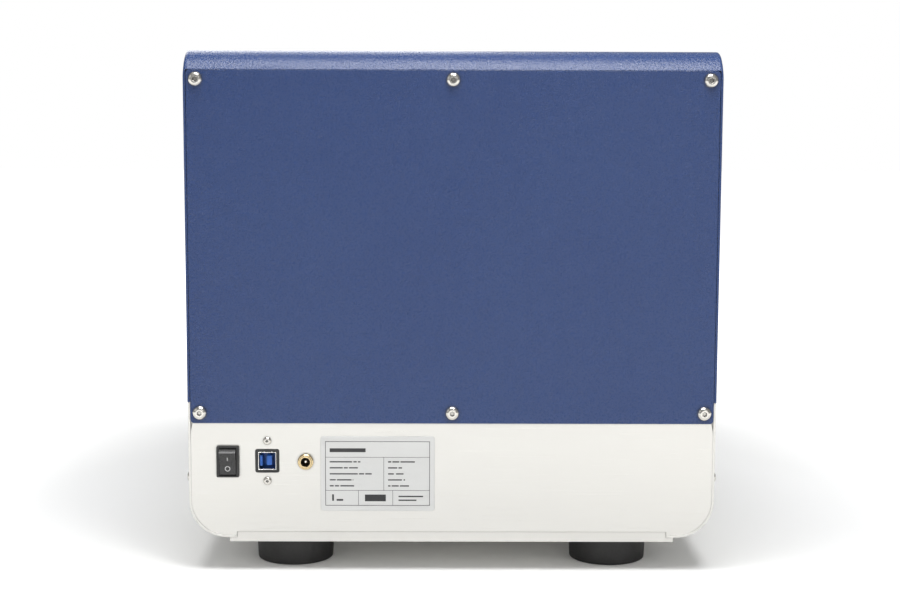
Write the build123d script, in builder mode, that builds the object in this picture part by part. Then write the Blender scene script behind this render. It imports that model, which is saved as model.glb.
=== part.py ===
from build123d import *

import os
from math import asin, cos, degrees, radians, sin, sqrt, tan

# Automated cell counter: a closed bench instrument on four rubber feet.
# Millimetres, +Z up, origin on the bench under the middle of the case.
# The plate drawer opens to the front (-Y). Switch and sockets are on the rear (+Y).

# Case
case_width = 352.0
case_depth = 400.0
case_height = 347.3
sheet = 1.5
seam_gap = 0.1
base_height = 115.2
corner_radius = 25.4
top_radius = 25.4
rear_bend = 60.0
cover_edge_radius = 2.0
panel_lap = 14.1
panel_side_gap = 0.3
panel_corner = 2.5
flange_width = 14.0
flange_height = 17.0
panel_flange = 16.0
flange_drop = 5.0
flange_foot_gap = 3.0
seam_strip_height = 20.0
seam_strip_gap = 4.0
cutout_gap = 0.1
over_cut = 1.0

# Bottom plate and feet
foot_height = 20.0
foot_diameter = 54.0
foot_taper = 1.2
foot_side_inset = 67.9
foot_inset = 41.0
foot_recess_diameter = 18.0
foot_recess_depth = 12.0
plate_thickness = 6.9
plate_lip_thickness = 3.0
plate_lip = 4.8
plate_side_gap = 31.8
plate_end_gap = 0.5
clamp_bar_width = 20.0
clamp_bar_height = 6.0
clamp_bar_gap = 2.0

# Fasteners: shank diameter, head diameter and head height
m5 = 5.0
m5_head = 9.5
m5_head_height = 2.75
m4 = 4.0
m4_head = 7.6
m4_head_height = 2.2
m3 = 3.0
m3_head = 5.6
m3_head_height = 1.65
screw_hole_gap = 0.5
fit_gap = 0.05
nut_height = 3.5
nut_wall = 1.6
cover_screw_edge = 8.0
cover_screw_drop = 6.2
panel_screw_rise = 6.95
side_screw_height = 62.4
side_screw_inset = 10.0

# Rear sockets, switch and label: sizes and centres
switch_width = 15.0
switch_height = 21.0
switch_edge = 26.2
switch_z = 74.9
bezel_height = 2.0
bezel_step = 1.0
rocker_gap = 0.2
rocker_tilt = 12.0
rocker_face_depth = 3.4
rocker_back_depth = 2.6
rocker_pivot_depth = 3.0
trunnion = 2.4
switch_depth = 14.0
switch_wall = 0.8
switch_pocket_gap = 0.1
trunnion_reach = 0.6
usb_size = 16.0
usb_corner = 1.5
usb_ear_overhang = 1.0
usb_edge = 52.5
usb_z = 75.3
usb_shell_size = 12.0
usb_shell_wall = 0.4
usb_shell_proud = 0.7
usb_depth = 14.0
usb_screw_pitch = 27.2
usb_ear = 2.0
usb_back_wall = 4.0
usb_tongue_width = 3.5
usb_tongue_height = 6.3
usb_tongue_offset = 1.2
usb_tongue_sink = 1.0
usb_key_width = 1.7
usb_key_height = 6.9
usb_key_offset = 4.2
jack_edge = 78.1
jack_z = 74.8
jack_thread = 8.0
jack_nut_diameter = 10.5
jack_nut_height = 2.2
jack_proud = 2.6
jack_bore = 6.3
jack_pin = 2.0
jack_housing_diameter = 11.5
jack_housing_depth = 13.0
jack_floor = 2.0
jack_collar = 3.0
label_width = 76.2
label_height = 50.8
label_edge = 126.2
label_z = 66.7
label_thickness = 0.15
label_corner = 2.0

# Electronics
board_thickness = 1.6
standoff_height = 13.0
standoff_diameter = 6.0
power_board_depth = 64.0
control_board_depth = 62.0
board_edge_gap = 9.0
board_motor_gap = 7.6
board_frame_gap = 2.5
board_pin_rise = 1.5
socket_width = 10.0
socket_depth = 8.0
socket_height = 10.0
socket_setback = 12.0
usb_socket_inset = 20.0
capacitor_radius = 5.0
capacitor_height = 12.0
capacitor_pitch = 16.0
capacitor_offset = 10.0
chip_width = 18.0
chip_depth = 14.0
chip_height = 2.0
chip_row_pitch = 26.0
chip_columns = 4
lead_diameter = 2.4
usb_lead_diameter = 4.4

# Plate drawer
nest_clearance = 6.95
nest_inset = 130.0
nest_width = 128.4
nest_depth = 86.1
nest_pocket = 8.0
nest_rim = 7.0
nest_corner = 3.0
tray_thickness = 12.0
tray_width = 180.0
tray_rear_gap = 100.0
tray_window_width = 36.0
tray_window_pitch = 46.0
tray_window_margin = 23.5
opening_gap = 2.0
opening_headroom = 13.0
front_overlap = 8.0
front_thickness = 3.4
front_corner = 3.0
opening_corner = 2.0
seal_inset = 2.0
seal_thickness = 0.5
rail_spread = 164.0
rail_width = 9.0
rail_height = 6.5
rail_overrun = 18.0
rail_front_gap = 7.0
riser_width = 12.0
riser_height = 18.0
block_width = 20.0
block_height = 10.0
block_length = 30.0
block_rear_inset = 15.0
block_pitch = 70.0
screw_diameter = 8.0
drawer_screw_inset = 21.0
nut_inset = 20.0
motor_setback = 37.0
bearing_gap = 4.0
nut_block = 20.0
nut_length = 24.0
mount_length = 12.0
motor_size = 35.2
motor_length = 34.0
motor_chamfer = 3.0
motor_pilot = 22.0
motor_pilot_height = 2.0
bracket_thickness = 4.0
motor_socket = 12.0
clamp_thickness = 4.0
clamp_sink = 1.2
clamp_reach = 30.0
clamp_setback = 10.0
clamp_hub = 9.0
clamp_arm = 6.0
clamp_nose = 3.0
clamp_taper = 4.0
clamp_pin_sink = 3.0
clamp_front_gap = 2.0
clamp_bite = 0.3
clamp_pin_diameter = 4.0
clamp_room = 22.0
spring_wire = 0.6
spring_turns = 2.5
spring_gap = 0.05
lamp_width = 98.0
lamp_depth = 76.0
lamp_height = 15.0
lamp_wall = 2.0
lamp_floor = 3.0
diffuser_thickness = 2.0

# Microscope gantry over the plate
frame_edge = 15.2
frame_thickness = 10.0
frame_headroom = 197.3
frame_front_reach = 45.0
frame_rear_reach = 165.0
frame_window_margin = 15.0
frame_window_radius = 8.0
bridge_travel = 36.0
bridge_rail_length = 160.0
bridge_block_length = 45.0
beam_overhang = 12.0
beam_depth = 30.0
beam_height = 40.0
beam_wall = 4.0
bridge_screw_drop = 13.0
bridge_screw_inset = 19.0
bridge_bearing_room = 28.0
bridge_motor_room = 35.0
cross_travel = 54.0
cross_rail_width = 15.0
cross_rail_height = 9.5
cross_rail_length = 200.0
cross_block_width = 32.0
cross_block_depth = 16.0
cross_block_length = 50.0
cross_screw_rise = 20.0
cross_screw_reach = 1.0
cross_bearing_room = 14.0
cross_motor_gap = 2.0
carriage_width = 72.0
carriage_thickness = 6.0
shelf_thickness = 4.0
shelf_depth = 32.0
focus_travel = 4.0
focus_plate_width = 44.0
focus_plate_thickness = 5.0
dovetail_width = 20.0
dovetail_depth = 10.0
dovetail_rise = 5.0
dovetail_length = 70.0
focus_pad_rise = 15.0
focus_pad_height = 50.0
focus_pad_gap = 0.3
focus_flange_reach = 8.0
focus_motor_size = 28.0
focus_motor_height = 32.0
focus_rod_diameter = 5.0
focus_flange_gap = 14.0
axis_gap = 22.0
objective_bottom = 84.0
objective_height = 34.0
objective_diameter = 26.0
cube_width = 40.0
cube_height = 54.0
light_bore = 18.0
tube_diameter = 32.0
tube_height = 60.0
camera_size = 44.0
camera_height = 48.0
led_size = 28.0
led_length = 19.0
led_fins = 6
led_lift = 4.0

# Planes and lines that several pieces share
side_x = case_width / 2
inner_x = side_x - sheet
rear_y = case_depth / 2
skin_y = rear_y - sheet
wall_y = skin_y - sheet
crown_z = case_height - top_radius
crease_y = rear_y - top_radius * sin(radians(rear_bend))
crease_z = crown_z + top_radius * cos(radians(rear_bend))
shell_bottom = foot_height + plate_lip_thickness
plate_top = foot_height + plate_thickness
plate_half = side_x - plate_side_gap
plate_y = skin_y - plate_end_gap
tongue_z = base_height - panel_lap
panel_half = inner_x - panel_side_gap
foot_x = side_x - foot_side_inset
foot_y = rear_y - foot_inset
switch_x = side_x - switch_edge
usb_x = side_x - usb_edge
jack_x = side_x - jack_edge
label_x = side_x - label_edge
tray_bottom = plate_top + riser_height + block_height
tray_top = tray_bottom + tray_thickness
rail_base = plate_top + riser_height
opening_bottom = tray_bottom - opening_gap
opening_top = tray_top + opening_headroom
opening_half = tray_width / 2 + opening_gap
front_back_y = -(skin_y + seam_gap + seal_thickness)
nest_y = nest_inset - rear_y
tray_rear = rear_y - tray_rear_gap
drawer_travel = nest_inset + nest_depth / 2 + nest_clearance
drawer_screw_x = rail_spread / 2 - drawer_screw_inset
drawer_screw_z = tray_bottom - nut_block / 2
rail_rear = tray_rear + rail_overrun
rail_front = rail_front_gap - wall_y
nut_y = tray_rear - nut_inset
motor_face_y = tray_rear + motor_setback
frame_x = plate_half - frame_edge
frame_inner = frame_x - frame_thickness / 2
frame_front = nest_y - frame_front_reach
frame_rear = nest_y + frame_rear_reach
frame_top = case_height - frame_headroom
frame_height = frame_top - plate_top
frame_rail_margin = frame_height / 5
beam_bottom = frame_top + block_height
beam_top = beam_bottom + beam_height
focus_front = nest_y + axis_gap
focus_back = focus_front + focus_plate_thickness
carriage_front = focus_back + dovetail_depth
carriage_back = carriage_front + carriage_thickness
beam_front = carriage_back + cross_block_depth
beam_y = beam_front + beam_depth / 2
bridge_screw_x = frame_inner - bridge_screw_inset
bridge_screw_z = beam_bottom - bridge_screw_drop
bridge_half = bridge_travel + nut_length / 2
cross_screw_z = beam_top + cross_screw_rise
cross_screw_y = beam_front - cross_screw_reach
cross_half = cross_travel + carriage_width / 2
carriage_bottom = frame_top
carriage_top = cross_screw_z + nut_block
focus_motor_y = carriage_front + shelf_depth / 2
cube_bottom = objective_bottom + objective_height
cube_top = cube_bottom + cube_height
tube_top = cube_top + tube_height
camera_top = tube_top + camera_height
screw_radius = screw_diameter / 2


def box(x, y, z, mode=Mode.ADD):
    """Add a box that lies between two limits on each axis."""
    with Locations(((x[0] + x[1]) / 2, (y[0] + y[1]) / 2, (z[0] + z[1]) / 2)):
        Box(x[1] - x[0], y[1] - y[0], z[1] - z[0], mode=mode)


def around(centre, size):
    """Limits of a size centred on a value."""
    return (centre - size / 2, centre + size / 2)


def bar(start, direction, radius, length, mode=Mode.ADD):
    """Add a round bar that starts at a point and runs along a direction."""
    with Locations(Plane(origin=start, z_dir=direction)):
        Cylinder(radius, length, align=(Align.CENTER, Align.CENTER, Align.MIN), mode=mode)


def end_plane(side, distance):
    """Plane of an end wall: local x to the right as seen from outside, local y up."""
    return Plane(origin=(0, side * distance, 0), x_dir=(-side, 0, 0), z_dir=(0, side, 0))


def button_screw(shank, length, head, head_height):
    """Socket button-head screw, its seat at z 0 and its head upwards."""
    with BuildPart() as screw:
        with BuildSketch(Plane.XZ):
            with BuildLine():
                Line((0, 0), (head / 2, 0))
                Line((head / 2, 0), (head / 2, head_height * 0.2))
                ThreePointArc(
                    (head / 2, head_height * 0.2),
                    (head * 0.42, head_height * 0.7),
                    (head * 0.28, head_height),
                )
                Line((head * 0.28, head_height), (0, head_height))
                Line((0, head_height), (0, 0))
            make_face()
        revolve(axis=Axis.Z)
        with BuildSketch():
            Circle(shank / 2)
        extrude(amount=-length)
        with BuildSketch(Plane.XY.offset(head_height)):
            RegularPolygon(head * 0.18, 6)
        extrude(amount=-head_height * 0.6, mode=Mode.SUBTRACT)
    return screw.part


def ring(outer, inner, length):
    """Round nut or sleeve standing on z 0."""
    with BuildPart() as sleeve:
        with BuildSketch():
            Circle(outer / 2)
            Circle(inner / 2, mode=Mode.SUBTRACT)
        extrude(amount=length)
    return sleeve.part


def rail_section(plane, width, height, grow=0.0):
    """Waisted section of a profile rail that stands on the plane's x axis."""
    half = width / 2 + grow
    waist = half - width * 0.12
    right = (
        (half, 0),
        (half, height * 0.3),
        (waist, height * 0.45),
        (waist, height * 0.6),
        (half, height * 0.75),
        (half, height + grow),
    )
    left = tuple((-x, y) for x, y in reversed(right))
    with BuildSketch(plane) as section:
        Polygon(*right, *left, align=None)
    return section.sketch


def stepper(plane, size, length):
    """Square stepper motor behind the plane, its pilot boss in front of it, with a shaft socket."""
    with BuildPart() as motor:
        with BuildSketch(plane):
            Rectangle(size, size)
            chamfer(vertices(), length=motor_chamfer)
        extrude(amount=-length)
        with BuildSketch(plane):
            Circle(motor_pilot / 2)
        extrude(amount=motor_pilot_height)
        with BuildSketch(plane.offset(motor_pilot_height)):
            Circle(screw_radius + fit_gap)
        extrude(amount=-motor_socket, mode=Mode.SUBTRACT)
    return motor.part


def end_panel(side):
    """Silver end wall of the base: a sheet with side flanges and a notch over the bottom plate."""
    half = inner_x - seam_gap
    bottom = shell_bottom + sheet + seam_gap
    top = base_height + sheet
    with BuildPart() as wall:
        with BuildSketch(end_plane(side, wall_y)):
            with Locations((0, bottom)):
                Rectangle(2 * half, top - bottom, align=(Align.CENTER, Align.MIN))
            fillet(vertices().group_by(Axis.Z)[0], radius=corner_radius - sheet - seam_gap)
            with Locations((0, bottom)):
                Rectangle(
                    2 * (plate_half + seam_gap),
                    2 * (plate_top + seam_gap - bottom),
                    mode=Mode.SUBTRACT,
                )
        extrude(amount=sheet)
        for hand in (-1, 1):
            across = sorted((hand * half, hand * (half - sheet)))
            along = sorted((side * wall_y, side * (wall_y - panel_flange)))
            box(across, along, (shell_bottom + corner_radius, base_height - flange_drop))
            with Locations(
                Plane(origin=(hand * half, side * (skin_y - side_screw_inset), side_screw_height),
                      z_dir=(hand, 0, 0))
            ):
                Hole((m4 + screw_hole_gap) / 2, depth=sheet * 2)
    return wall.part


def base_side(side):
    """Silver side wall of the base, bent round under the bottom edge, with a seam strip inside."""
    centre_x = side_x - corner_radius
    centre_z = shell_bottom + corner_radius
    toe_x = plate_half + seam_gap
    inner_radius = corner_radius - sheet
    diagonal = sqrt(0.5)
    with BuildPart() as wall:
        with BuildSketch(Plane.XZ):
            with BuildLine():
                Line((side * inner_x, base_height), (side * side_x, base_height))
                Line((side * side_x, base_height), (side * side_x, centre_z))
                ThreePointArc(
                    (side * side_x, centre_z),
                    (side * (centre_x + corner_radius * diagonal), centre_z - corner_radius * diagonal),
                    (side * centre_x, shell_bottom),
                )
                Line((side * centre_x, shell_bottom), (side * toe_x, shell_bottom))
                Line((side * toe_x, shell_bottom), (side * toe_x, shell_bottom + sheet))
                Line((side * toe_x, shell_bottom + sheet), (side * centre_x, shell_bottom + sheet))
                ThreePointArc(
                    (side * centre_x, shell_bottom + sheet),
                    (side * (centre_x + inner_radius * diagonal), centre_z - inner_radius * diagonal),
                    (side * inner_x, centre_z),
                )
                Line((side * inner_x, centre_z), (side * inner_x, base_height))
            make_face()
        extrude(amount=skin_y, both=True)
        strip = sorted((side * inner_x, side * (inner_x - sheet)))
        strip_y = wall_y - panel_flange - seam_strip_gap
        box(strip, (-strip_y, strip_y), around(base_height, seam_strip_height))
        for end in (-1, 1):
            with Locations(
                Plane(origin=(side * side_x, end * (skin_y - side_screw_inset), side_screw_height),
                      z_dir=(side, 0, 0))
            ):
                Hole((m4 + screw_hole_gap) / 2, depth=sheet * 2)
    return wall.part


def cover_profile(inset, rear_inset, bottom):
    """Side view of the cover: round front bend, short rear bend that ends in a crease."""
    radius = top_radius - inset
    front = -rear_y + inset
    bend_y = -(rear_y - top_radius)
    end_y = rear_y - rear_inset
    turn = degrees(asin((end_y - crease_y) / radius))
    end_z = crown_z + sqrt(radius**2 - (end_y - crease_y) ** 2)
    with BuildSketch(Plane.YZ) as profile:
        with BuildLine():
            Line((front, bottom), (front, crown_z))
            CenterArc((bend_y, crown_z), radius, 180, -90)
            Line((bend_y, crown_z + radius), (crease_y, crown_z + radius))
            CenterArc((crease_y, crown_z), radius, 90, -turn)
            Line((end_y, end_z), (end_y, bottom))
            Line((end_y, bottom), (front, bottom))
        make_face()
    return profile.sketch


def rocker_point(distance, along, tilt):
    """Point of the rocker's side view, from its pivot: outwards and along a face tilted in degrees."""
    turn = radians(tilt)
    return (distance * cos(turn) + along * sin(turn), along * cos(turn) - distance * sin(turn))


def held_lead(points, radius, diameter):
    """Round lead along straight runs and tangent arcs."""
    with BuildLine() as route:
        FilletPolyline(*points, radius=radius)
    with BuildPart() as lead:
        with BuildSketch(Plane(origin=route.line @ 0, z_dir=route.line % 0)):
            Circle(diameter / 2)
        sweep(path=route.line)
    return lead.part


os.makedirs("parts", exist_ok=True)

# Bottom plate: a thick machined plate that carries the mechanism and the feet
with BuildPart() as base_plate:
    with BuildSketch(Plane.XY.offset(foot_height)):
        Rectangle(2 * (plate_half + plate_lip), 2 * plate_y)
    extrude(amount=plate_lip_thickness)
    with BuildSketch(Plane.XY.offset(foot_height)):
        Rectangle(2 * plate_half, 2 * plate_y)
    extrude(amount=plate_thickness)
    with Locations(Plane.XY.offset(plate_top)):
        with GridLocations(2 * foot_x, 2 * foot_y, 2, 2):
            Hole(m5 / 2 + fit_gap)
base_plate.part.label = "base_plate"
export_step(base_plate.part, "parts/base_plate.step")

with BuildPart() as base_side_left:
    add(base_side(-1))
base_side_left.part.label = "base_side_left"
export_step(base_side_left.part, "parts/base_side_left.step")

with BuildPart() as base_side_right:
    add(base_side(1))
base_side_right.part.label = "base_side_right"
export_step(base_side_right.part, "parts/base_side_right.step")

# Rear wall with the cut-outs for the switch, the sockets and the lower cover screws
cover_screw_x = side_x - cover_screw_edge
with BuildPart() as base_rear_panel:
    add(end_panel(1))
    with BuildSketch(end_plane(1, skin_y)):
        with Locations((-switch_x, switch_z)):
            Rectangle(
                switch_width - 2 * bezel_step + 2 * cutout_gap,
                switch_height - 2 * bezel_step + 2 * cutout_gap,
            )
        with Locations((-usb_x, usb_z)):
            RectangleRounded(usb_size + 2 * cutout_gap, usb_size + 2 * cutout_gap, usb_corner + cutout_gap)
            with GridLocations(0, usb_screw_pitch, 1, 2):
                Circle((m3 + screw_hole_gap) / 2)
        with Locations((-jack_x, jack_z)):
            Circle((jack_thread + screw_hole_gap) / 2)
        with Locations((0, tongue_z + panel_screw_rise)):
            with GridLocations(cover_screw_x, 0, 3, 1):
                Circle((m5 + screw_hole_gap) / 2)
    extrude(amount=-sheet, mode=Mode.SUBTRACT)
base_rear_panel.part.label = "base_rear_panel"
export_step(base_rear_panel.part, "parts/base_rear_panel.step")

# Front wall with the drawer opening
with BuildPart() as front_fascia:
    add(end_panel(-1))
    with BuildSketch(end_plane(-1, skin_y)):
        with Locations((0, (opening_bottom + opening_top) / 2)):
            RectangleRounded(2 * opening_half, opening_top - opening_bottom, opening_corner)
    extrude(amount=-sheet, mode=Mode.SUBTRACT)
front_fascia.part.label = "front_fascia"
export_step(front_fascia.part, "parts/front_fascia.step")

# Bars that clamp the turned-in toes of the side walls to the bottom plate
with BuildPart() as clamp_bars:
    toe = shell_bottom + sheet
    bar_inner = plate_half - clamp_bar_width / 2
    for side in (-1, 1):
        with BuildSketch(Plane.XZ):
            with BuildLine():
                Polyline(
                    (side * bar_inner, plate_top),
                    (side * (plate_half + seam_gap), plate_top),
                    (side * (plate_half + seam_gap), toe),
                    (side * (side_x - corner_radius), toe),
                    (side * (side_x - corner_radius), plate_top + clamp_bar_height),
                    (side * bar_inner, plate_top + clamp_bar_height),
                    close=True,
                )
            make_face()
        extrude(amount=wall_y - panel_flange - clamp_bar_gap, both=True)
clamp_bars.part.label = "clamp_bars"
export_step(clamp_bars.part, "parts/clamp_bars.step")

# Rubber feet, slightly tapered, with a screw recess
with BuildPart() as one_foot:
    with BuildSketch(Plane.XZ):
        with BuildLine():
            Polyline(
                ((m5 / 2) + fit_gap, foot_height),
                (foot_diameter / 2, foot_height),
                (foot_diameter / 2 - foot_taper, 0),
                (foot_recess_diameter / 2, 0),
                (foot_recess_diameter / 2, foot_recess_depth),
                ((m5 / 2) + fit_gap, foot_recess_depth),
                close=True,
            )
        make_face()
    revolve(axis=Axis.Z)
    fillet(one_foot.edges().filter_by(GeomType.CIRCLE).sort_by(SortBy.RADIUS)[-2:], radius=foot_taper)
with BuildPart() as rubber_feet:
    with GridLocations(2 * foot_x, 2 * foot_y, 2, 2):
        add(one_foot.part)
rubber_feet.part.label = "rubber_feet"
export_step(rubber_feet.part, "parts/rubber_feet.step")

with BuildPart() as foot_screws:
    with Locations(Plane(origin=(0, 0, foot_recess_depth), z_dir=(0, 0, -1))):
        with GridLocations(2 * foot_x, 2 * foot_y, 2, 2):
            add(button_screw(m5, plate_top - foot_recess_depth, m5_head, m5_head_height))
foot_screws.part.label = "foot_screws"
export_step(foot_screws.part, "parts/foot_screws.step")

# Cover: one welded sheet hood with a recess and a flange for the rear panel
with BuildPart() as top_cover:
    extrude(cover_profile(0, 0, base_height), amount=side_x, both=True)
    rims = top_cover.edges().filter_by(lambda e: abs(abs(e.center().X) - side_x) < 0.01)
    rims = rims.filter_by(lambda e: e.center().Z > base_height + 1 and e.center().Y < rear_y - 0.1)
    fillet(rims, radius=cover_edge_radius)
    extrude(
        cover_profile(sheet, 2 * sheet, base_height - over_cut),
        amount=inner_x,
        both=True,
        mode=Mode.SUBTRACT,
    )
    box((-inner_x, inner_x), (skin_y, rear_y + over_cut), (base_height - over_cut, crease_z),
        mode=Mode.SUBTRACT)
    box(
        (-inner_x + flange_width, inner_x - flange_width),
        (wall_y - over_cut, skin_y + over_cut),
        (base_height - over_cut, crease_z - flange_height),
        mode=Mode.SUBTRACT,
    )
    box((-inner_x, inner_x), (wall_y - over_cut, skin_y + over_cut),
        (base_height - over_cut, base_height + flange_foot_gap), mode=Mode.SUBTRACT)
    box((-panel_half, panel_half), (-rear_y, -skin_y), (tongue_z, base_height))
    with BuildSketch(end_plane(1, skin_y)):
        with Locations((0, crease_z - cover_screw_drop)):
            with GridLocations(cover_screw_x, 0, 3, 1):
                Circle((m5 + screw_hole_gap) / 2)
    extrude(amount=-sheet, mode=Mode.SUBTRACT)
top_cover.part.label = "top_cover"
export_step(top_cover.part, "parts/top_cover.step")

# Rear panel of the cover, laid in the recess and over the top edge of the silver base
panel_top = crease_z - seam_gap
cover_screw_rows = (tongue_z + panel_screw_rise, crease_z - cover_screw_drop)
with BuildPart() as rear_cover_panel:
    with BuildSketch(end_plane(1, skin_y)):
        with Locations((0, tongue_z)):
            Rectangle(2 * panel_half, panel_top - tongue_z, align=(Align.CENTER, Align.MIN))
        fillet(vertices().group_by(Axis.Z)[0], radius=panel_corner)
        for row in cover_screw_rows:
            with Locations((0, row)):
                with GridLocations(cover_screw_x, 0, 3, 1):
                    Circle((m5 + screw_hole_gap) / 2, mode=Mode.SUBTRACT)
    extrude(amount=sheet)
rear_cover_panel.part.label = "rear_cover_panel"
export_step(rear_cover_panel.part, "parts/rear_cover_panel.step")

cover_screw_places = [
    Plane(origin=(x * cover_screw_x, rear_y, z), z_dir=(0, 1, 0))
    for x in (-1, 0, 1)
    for z in cover_screw_rows
]
with BuildPart() as cover_screws:
    with Locations(*cover_screw_places):
        add(button_screw(m5, 2 * sheet + nut_height + 3, m5_head, m5_head_height))
cover_screws.part.label = "cover_screws"
export_step(cover_screws.part, "parts/cover_screws.step")

side_screw_places = [
    Plane(origin=(hand * side_x, end * (skin_y - side_screw_inset), side_screw_height), z_dir=(hand, 0, 0))
    for hand in (-1, 1)
    for end in (-1, 1)
]
with BuildPart() as side_screws:
    with Locations(*side_screw_places):
        add(button_screw(m4, 2 * sheet + nut_height + 2, m4_head, m4_head_height))
side_screws.part.label = "side_screws"
export_step(side_screws.part, "parts/side_screws.step")

# Clinch nuts behind the cover screws and the side screws
with BuildPart() as clinch_nuts:
    with Locations(*[place.offset(-2 * sheet - nut_height) for place in cover_screw_places]):
        add(ring(m5 + 2 * nut_wall, m5 + 2 * fit_gap, nut_height))
    side_nut_depth = 2 * sheet + seam_gap + nut_height
    with Locations(*[place.offset(-side_nut_depth) for place in side_screw_places]):
        add(ring(m4 + 2 * nut_wall, m4 + 2 * fit_gap, nut_height))
clinch_nuts.part.label = "clinch_nuts"
export_step(clinch_nuts.part, "parts/clinch_nuts.step")

with BuildPart() as rating_label:
    with BuildSketch(end_plane(1, skin_y)):
        with Locations((-label_x, label_z)):
            RectangleRounded(label_width, label_height, label_corner)
    extrude(amount=label_thickness)
rating_label.part.label = "rating_label"
export_step(rating_label.part, "parts/rating_label.step")

# Rocker switch: bezel and body with a pocket, and two pivot holes in its side walls
pivot_y = skin_y + bezel_height - rocker_pivot_depth
pocket_width = switch_width - 2 * bezel_step - 2 * switch_wall
pocket_height = switch_height - 2 * bezel_step - 2 * switch_pocket_gap
with BuildPart() as switch_housing:
    with BuildSketch(end_plane(1, skin_y)):
        with Locations((-switch_x, switch_z)):
            RectangleRounded(switch_width, switch_height, 1.0)
    extrude(amount=bezel_height)
    with BuildSketch(end_plane(1, skin_y)):
        with Locations((-switch_x, switch_z)):
            Rectangle(switch_width - 2 * bezel_step, switch_height - 2 * bezel_step)
    extrude(amount=-switch_depth)
    with BuildSketch(end_plane(1, skin_y + bezel_height)):
        with Locations((-switch_x, switch_z)):
            Rectangle(pocket_width, pocket_height)
    extrude(amount=-(rocker_pivot_depth + pocket_height / 2), mode=Mode.SUBTRACT)
    with Locations(Plane(origin=(switch_x, pivot_y, switch_z), z_dir=(1, 0, 0))):
        Cylinder(trunnion / 2 + fit_gap, switch_width - 2 * bezel_step, mode=Mode.SUBTRACT)
switch_housing.part.label = "switch_housing"
export_step(switch_housing.part, "parts/switch_housing.step")

# Rocker at OFF: its lower face lies level with the bezel and its upper half stands out
rocker_radius = pocket_height / 2 - rocker_gap
face_run = sqrt(rocker_radius**2 - rocker_face_depth**2)
back_run = sqrt(rocker_radius**2 - rocker_back_depth**2)
low_tip = rocker_point(rocker_face_depth, -face_run, 0)
high_tip = rocker_point(rocker_face_depth, face_run, 2 * rocker_tilt)
valley = rocker_point(rocker_face_depth, rocker_face_depth * tan(radians(rocker_tilt)), 2 * rocker_tilt)
low_heel = rocker_point(-rocker_back_depth, -back_run, rocker_tilt)
high_heel = rocker_point(-rocker_back_depth, back_run, rocker_tilt)
rocker_width = pocket_width - 2 * rocker_gap
with BuildPart() as switch_rocker:
    with BuildSketch(Plane(origin=(switch_x, pivot_y, switch_z), x_dir=(0, 1, 0), z_dir=(1, 0, 0))):
        with BuildLine():
            ThreePointArc(low_tip, rocker_point(0, -rocker_radius, rocker_tilt), low_heel)
            Line(low_heel, high_heel)
            ThreePointArc(high_heel, rocker_point(0, rocker_radius, rocker_tilt), high_tip)
            Line(high_tip, valley)
            Line(valley, low_tip)
        make_face()
    extrude(amount=rocker_width / 2, both=True)
    with Locations(Plane(origin=(switch_x, pivot_y, switch_z), z_dir=(1, 0, 0))):
        Cylinder(trunnion / 2, pocket_width + 2 * trunnion_reach)
switch_rocker.part.label = "switch_rocker"
export_step(switch_rocker.part, "parts/switch_rocker.step")

# USB type B socket on a rear ear plate, seen through its own opening
usb_rear_y = wall_y - usb_depth
with BuildPart() as usb_frame:
    with BuildSketch(end_plane(1, usb_rear_y)):
        with Locations((-usb_x, usb_z)):
            RectangleRounded(usb_size, usb_size, usb_corner)
            Rectangle(usb_shell_size, usb_shell_size, mode=Mode.SUBTRACT)
    extrude(amount=usb_depth + sheet)
    with BuildSketch(end_plane(1, wall_y - usb_ear)):
        with Locations((-usb_x, usb_z)):
            RectangleRounded(usb_size + 2 * usb_ear_overhang, usb_screw_pitch + 2 * m3_head, usb_ear)
            Rectangle(usb_shell_size, usb_shell_size, mode=Mode.SUBTRACT)
            with GridLocations(0, usb_screw_pitch, 1, 2):
                Circle(m3 / 2 + fit_gap, mode=Mode.SUBTRACT)
    extrude(amount=usb_ear)
usb_frame.part.label = "usb_frame"
export_step(usb_frame.part, "parts/usb_frame.step")

shell_bore = usb_shell_size - 2 * usb_shell_wall
with BuildPart() as usb_shell:
    with BuildSketch(end_plane(1, usb_rear_y)):
        with Locations((-usb_x, usb_z)):
            Rectangle(usb_shell_size, usb_shell_size)
            Rectangle(shell_bore, shell_bore, mode=Mode.SUBTRACT)
    extrude(amount=usb_depth + sheet + usb_shell_proud)
usb_shell.part.label = "usb_shell"
export_step(usb_shell.part, "parts/usb_shell.step")

# Blue insert: a back wall, a broad upright tongue and a narrow one beside it
with BuildPart() as usb_insert:
    with BuildSketch(end_plane(1, usb_rear_y)):
        with Locations((-usb_x, usb_z)):
            Rectangle(shell_bore, shell_bore)
    extrude(amount=usb_back_wall)
    with BuildSketch(end_plane(1, usb_rear_y)):
        with Locations((-usb_x + usb_tongue_offset, usb_z)):
            Rectangle(usb_tongue_width, usb_tongue_height)
        with Locations((-usb_x - usb_key_offset, usb_z)):
            Rectangle(usb_key_width, usb_key_height)
    extrude(amount=usb_depth + sheet - usb_tongue_sink)
usb_insert.part.label = "usb_insert"
export_step(usb_insert.part, "parts/usb_insert.step")

with BuildPart() as usb_screws:
    with Locations(end_plane(1, skin_y)):
        with Locations((-usb_x, usb_z)):
            with GridLocations(0, usb_screw_pitch, 1, 2):
                add(button_screw(m3, sheet + usb_ear + 2, m3_head, m3_head_height))
usb_screws.part.label = "usb_screws"
export_step(usb_screws.part, "parts/usb_screws.step")

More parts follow.
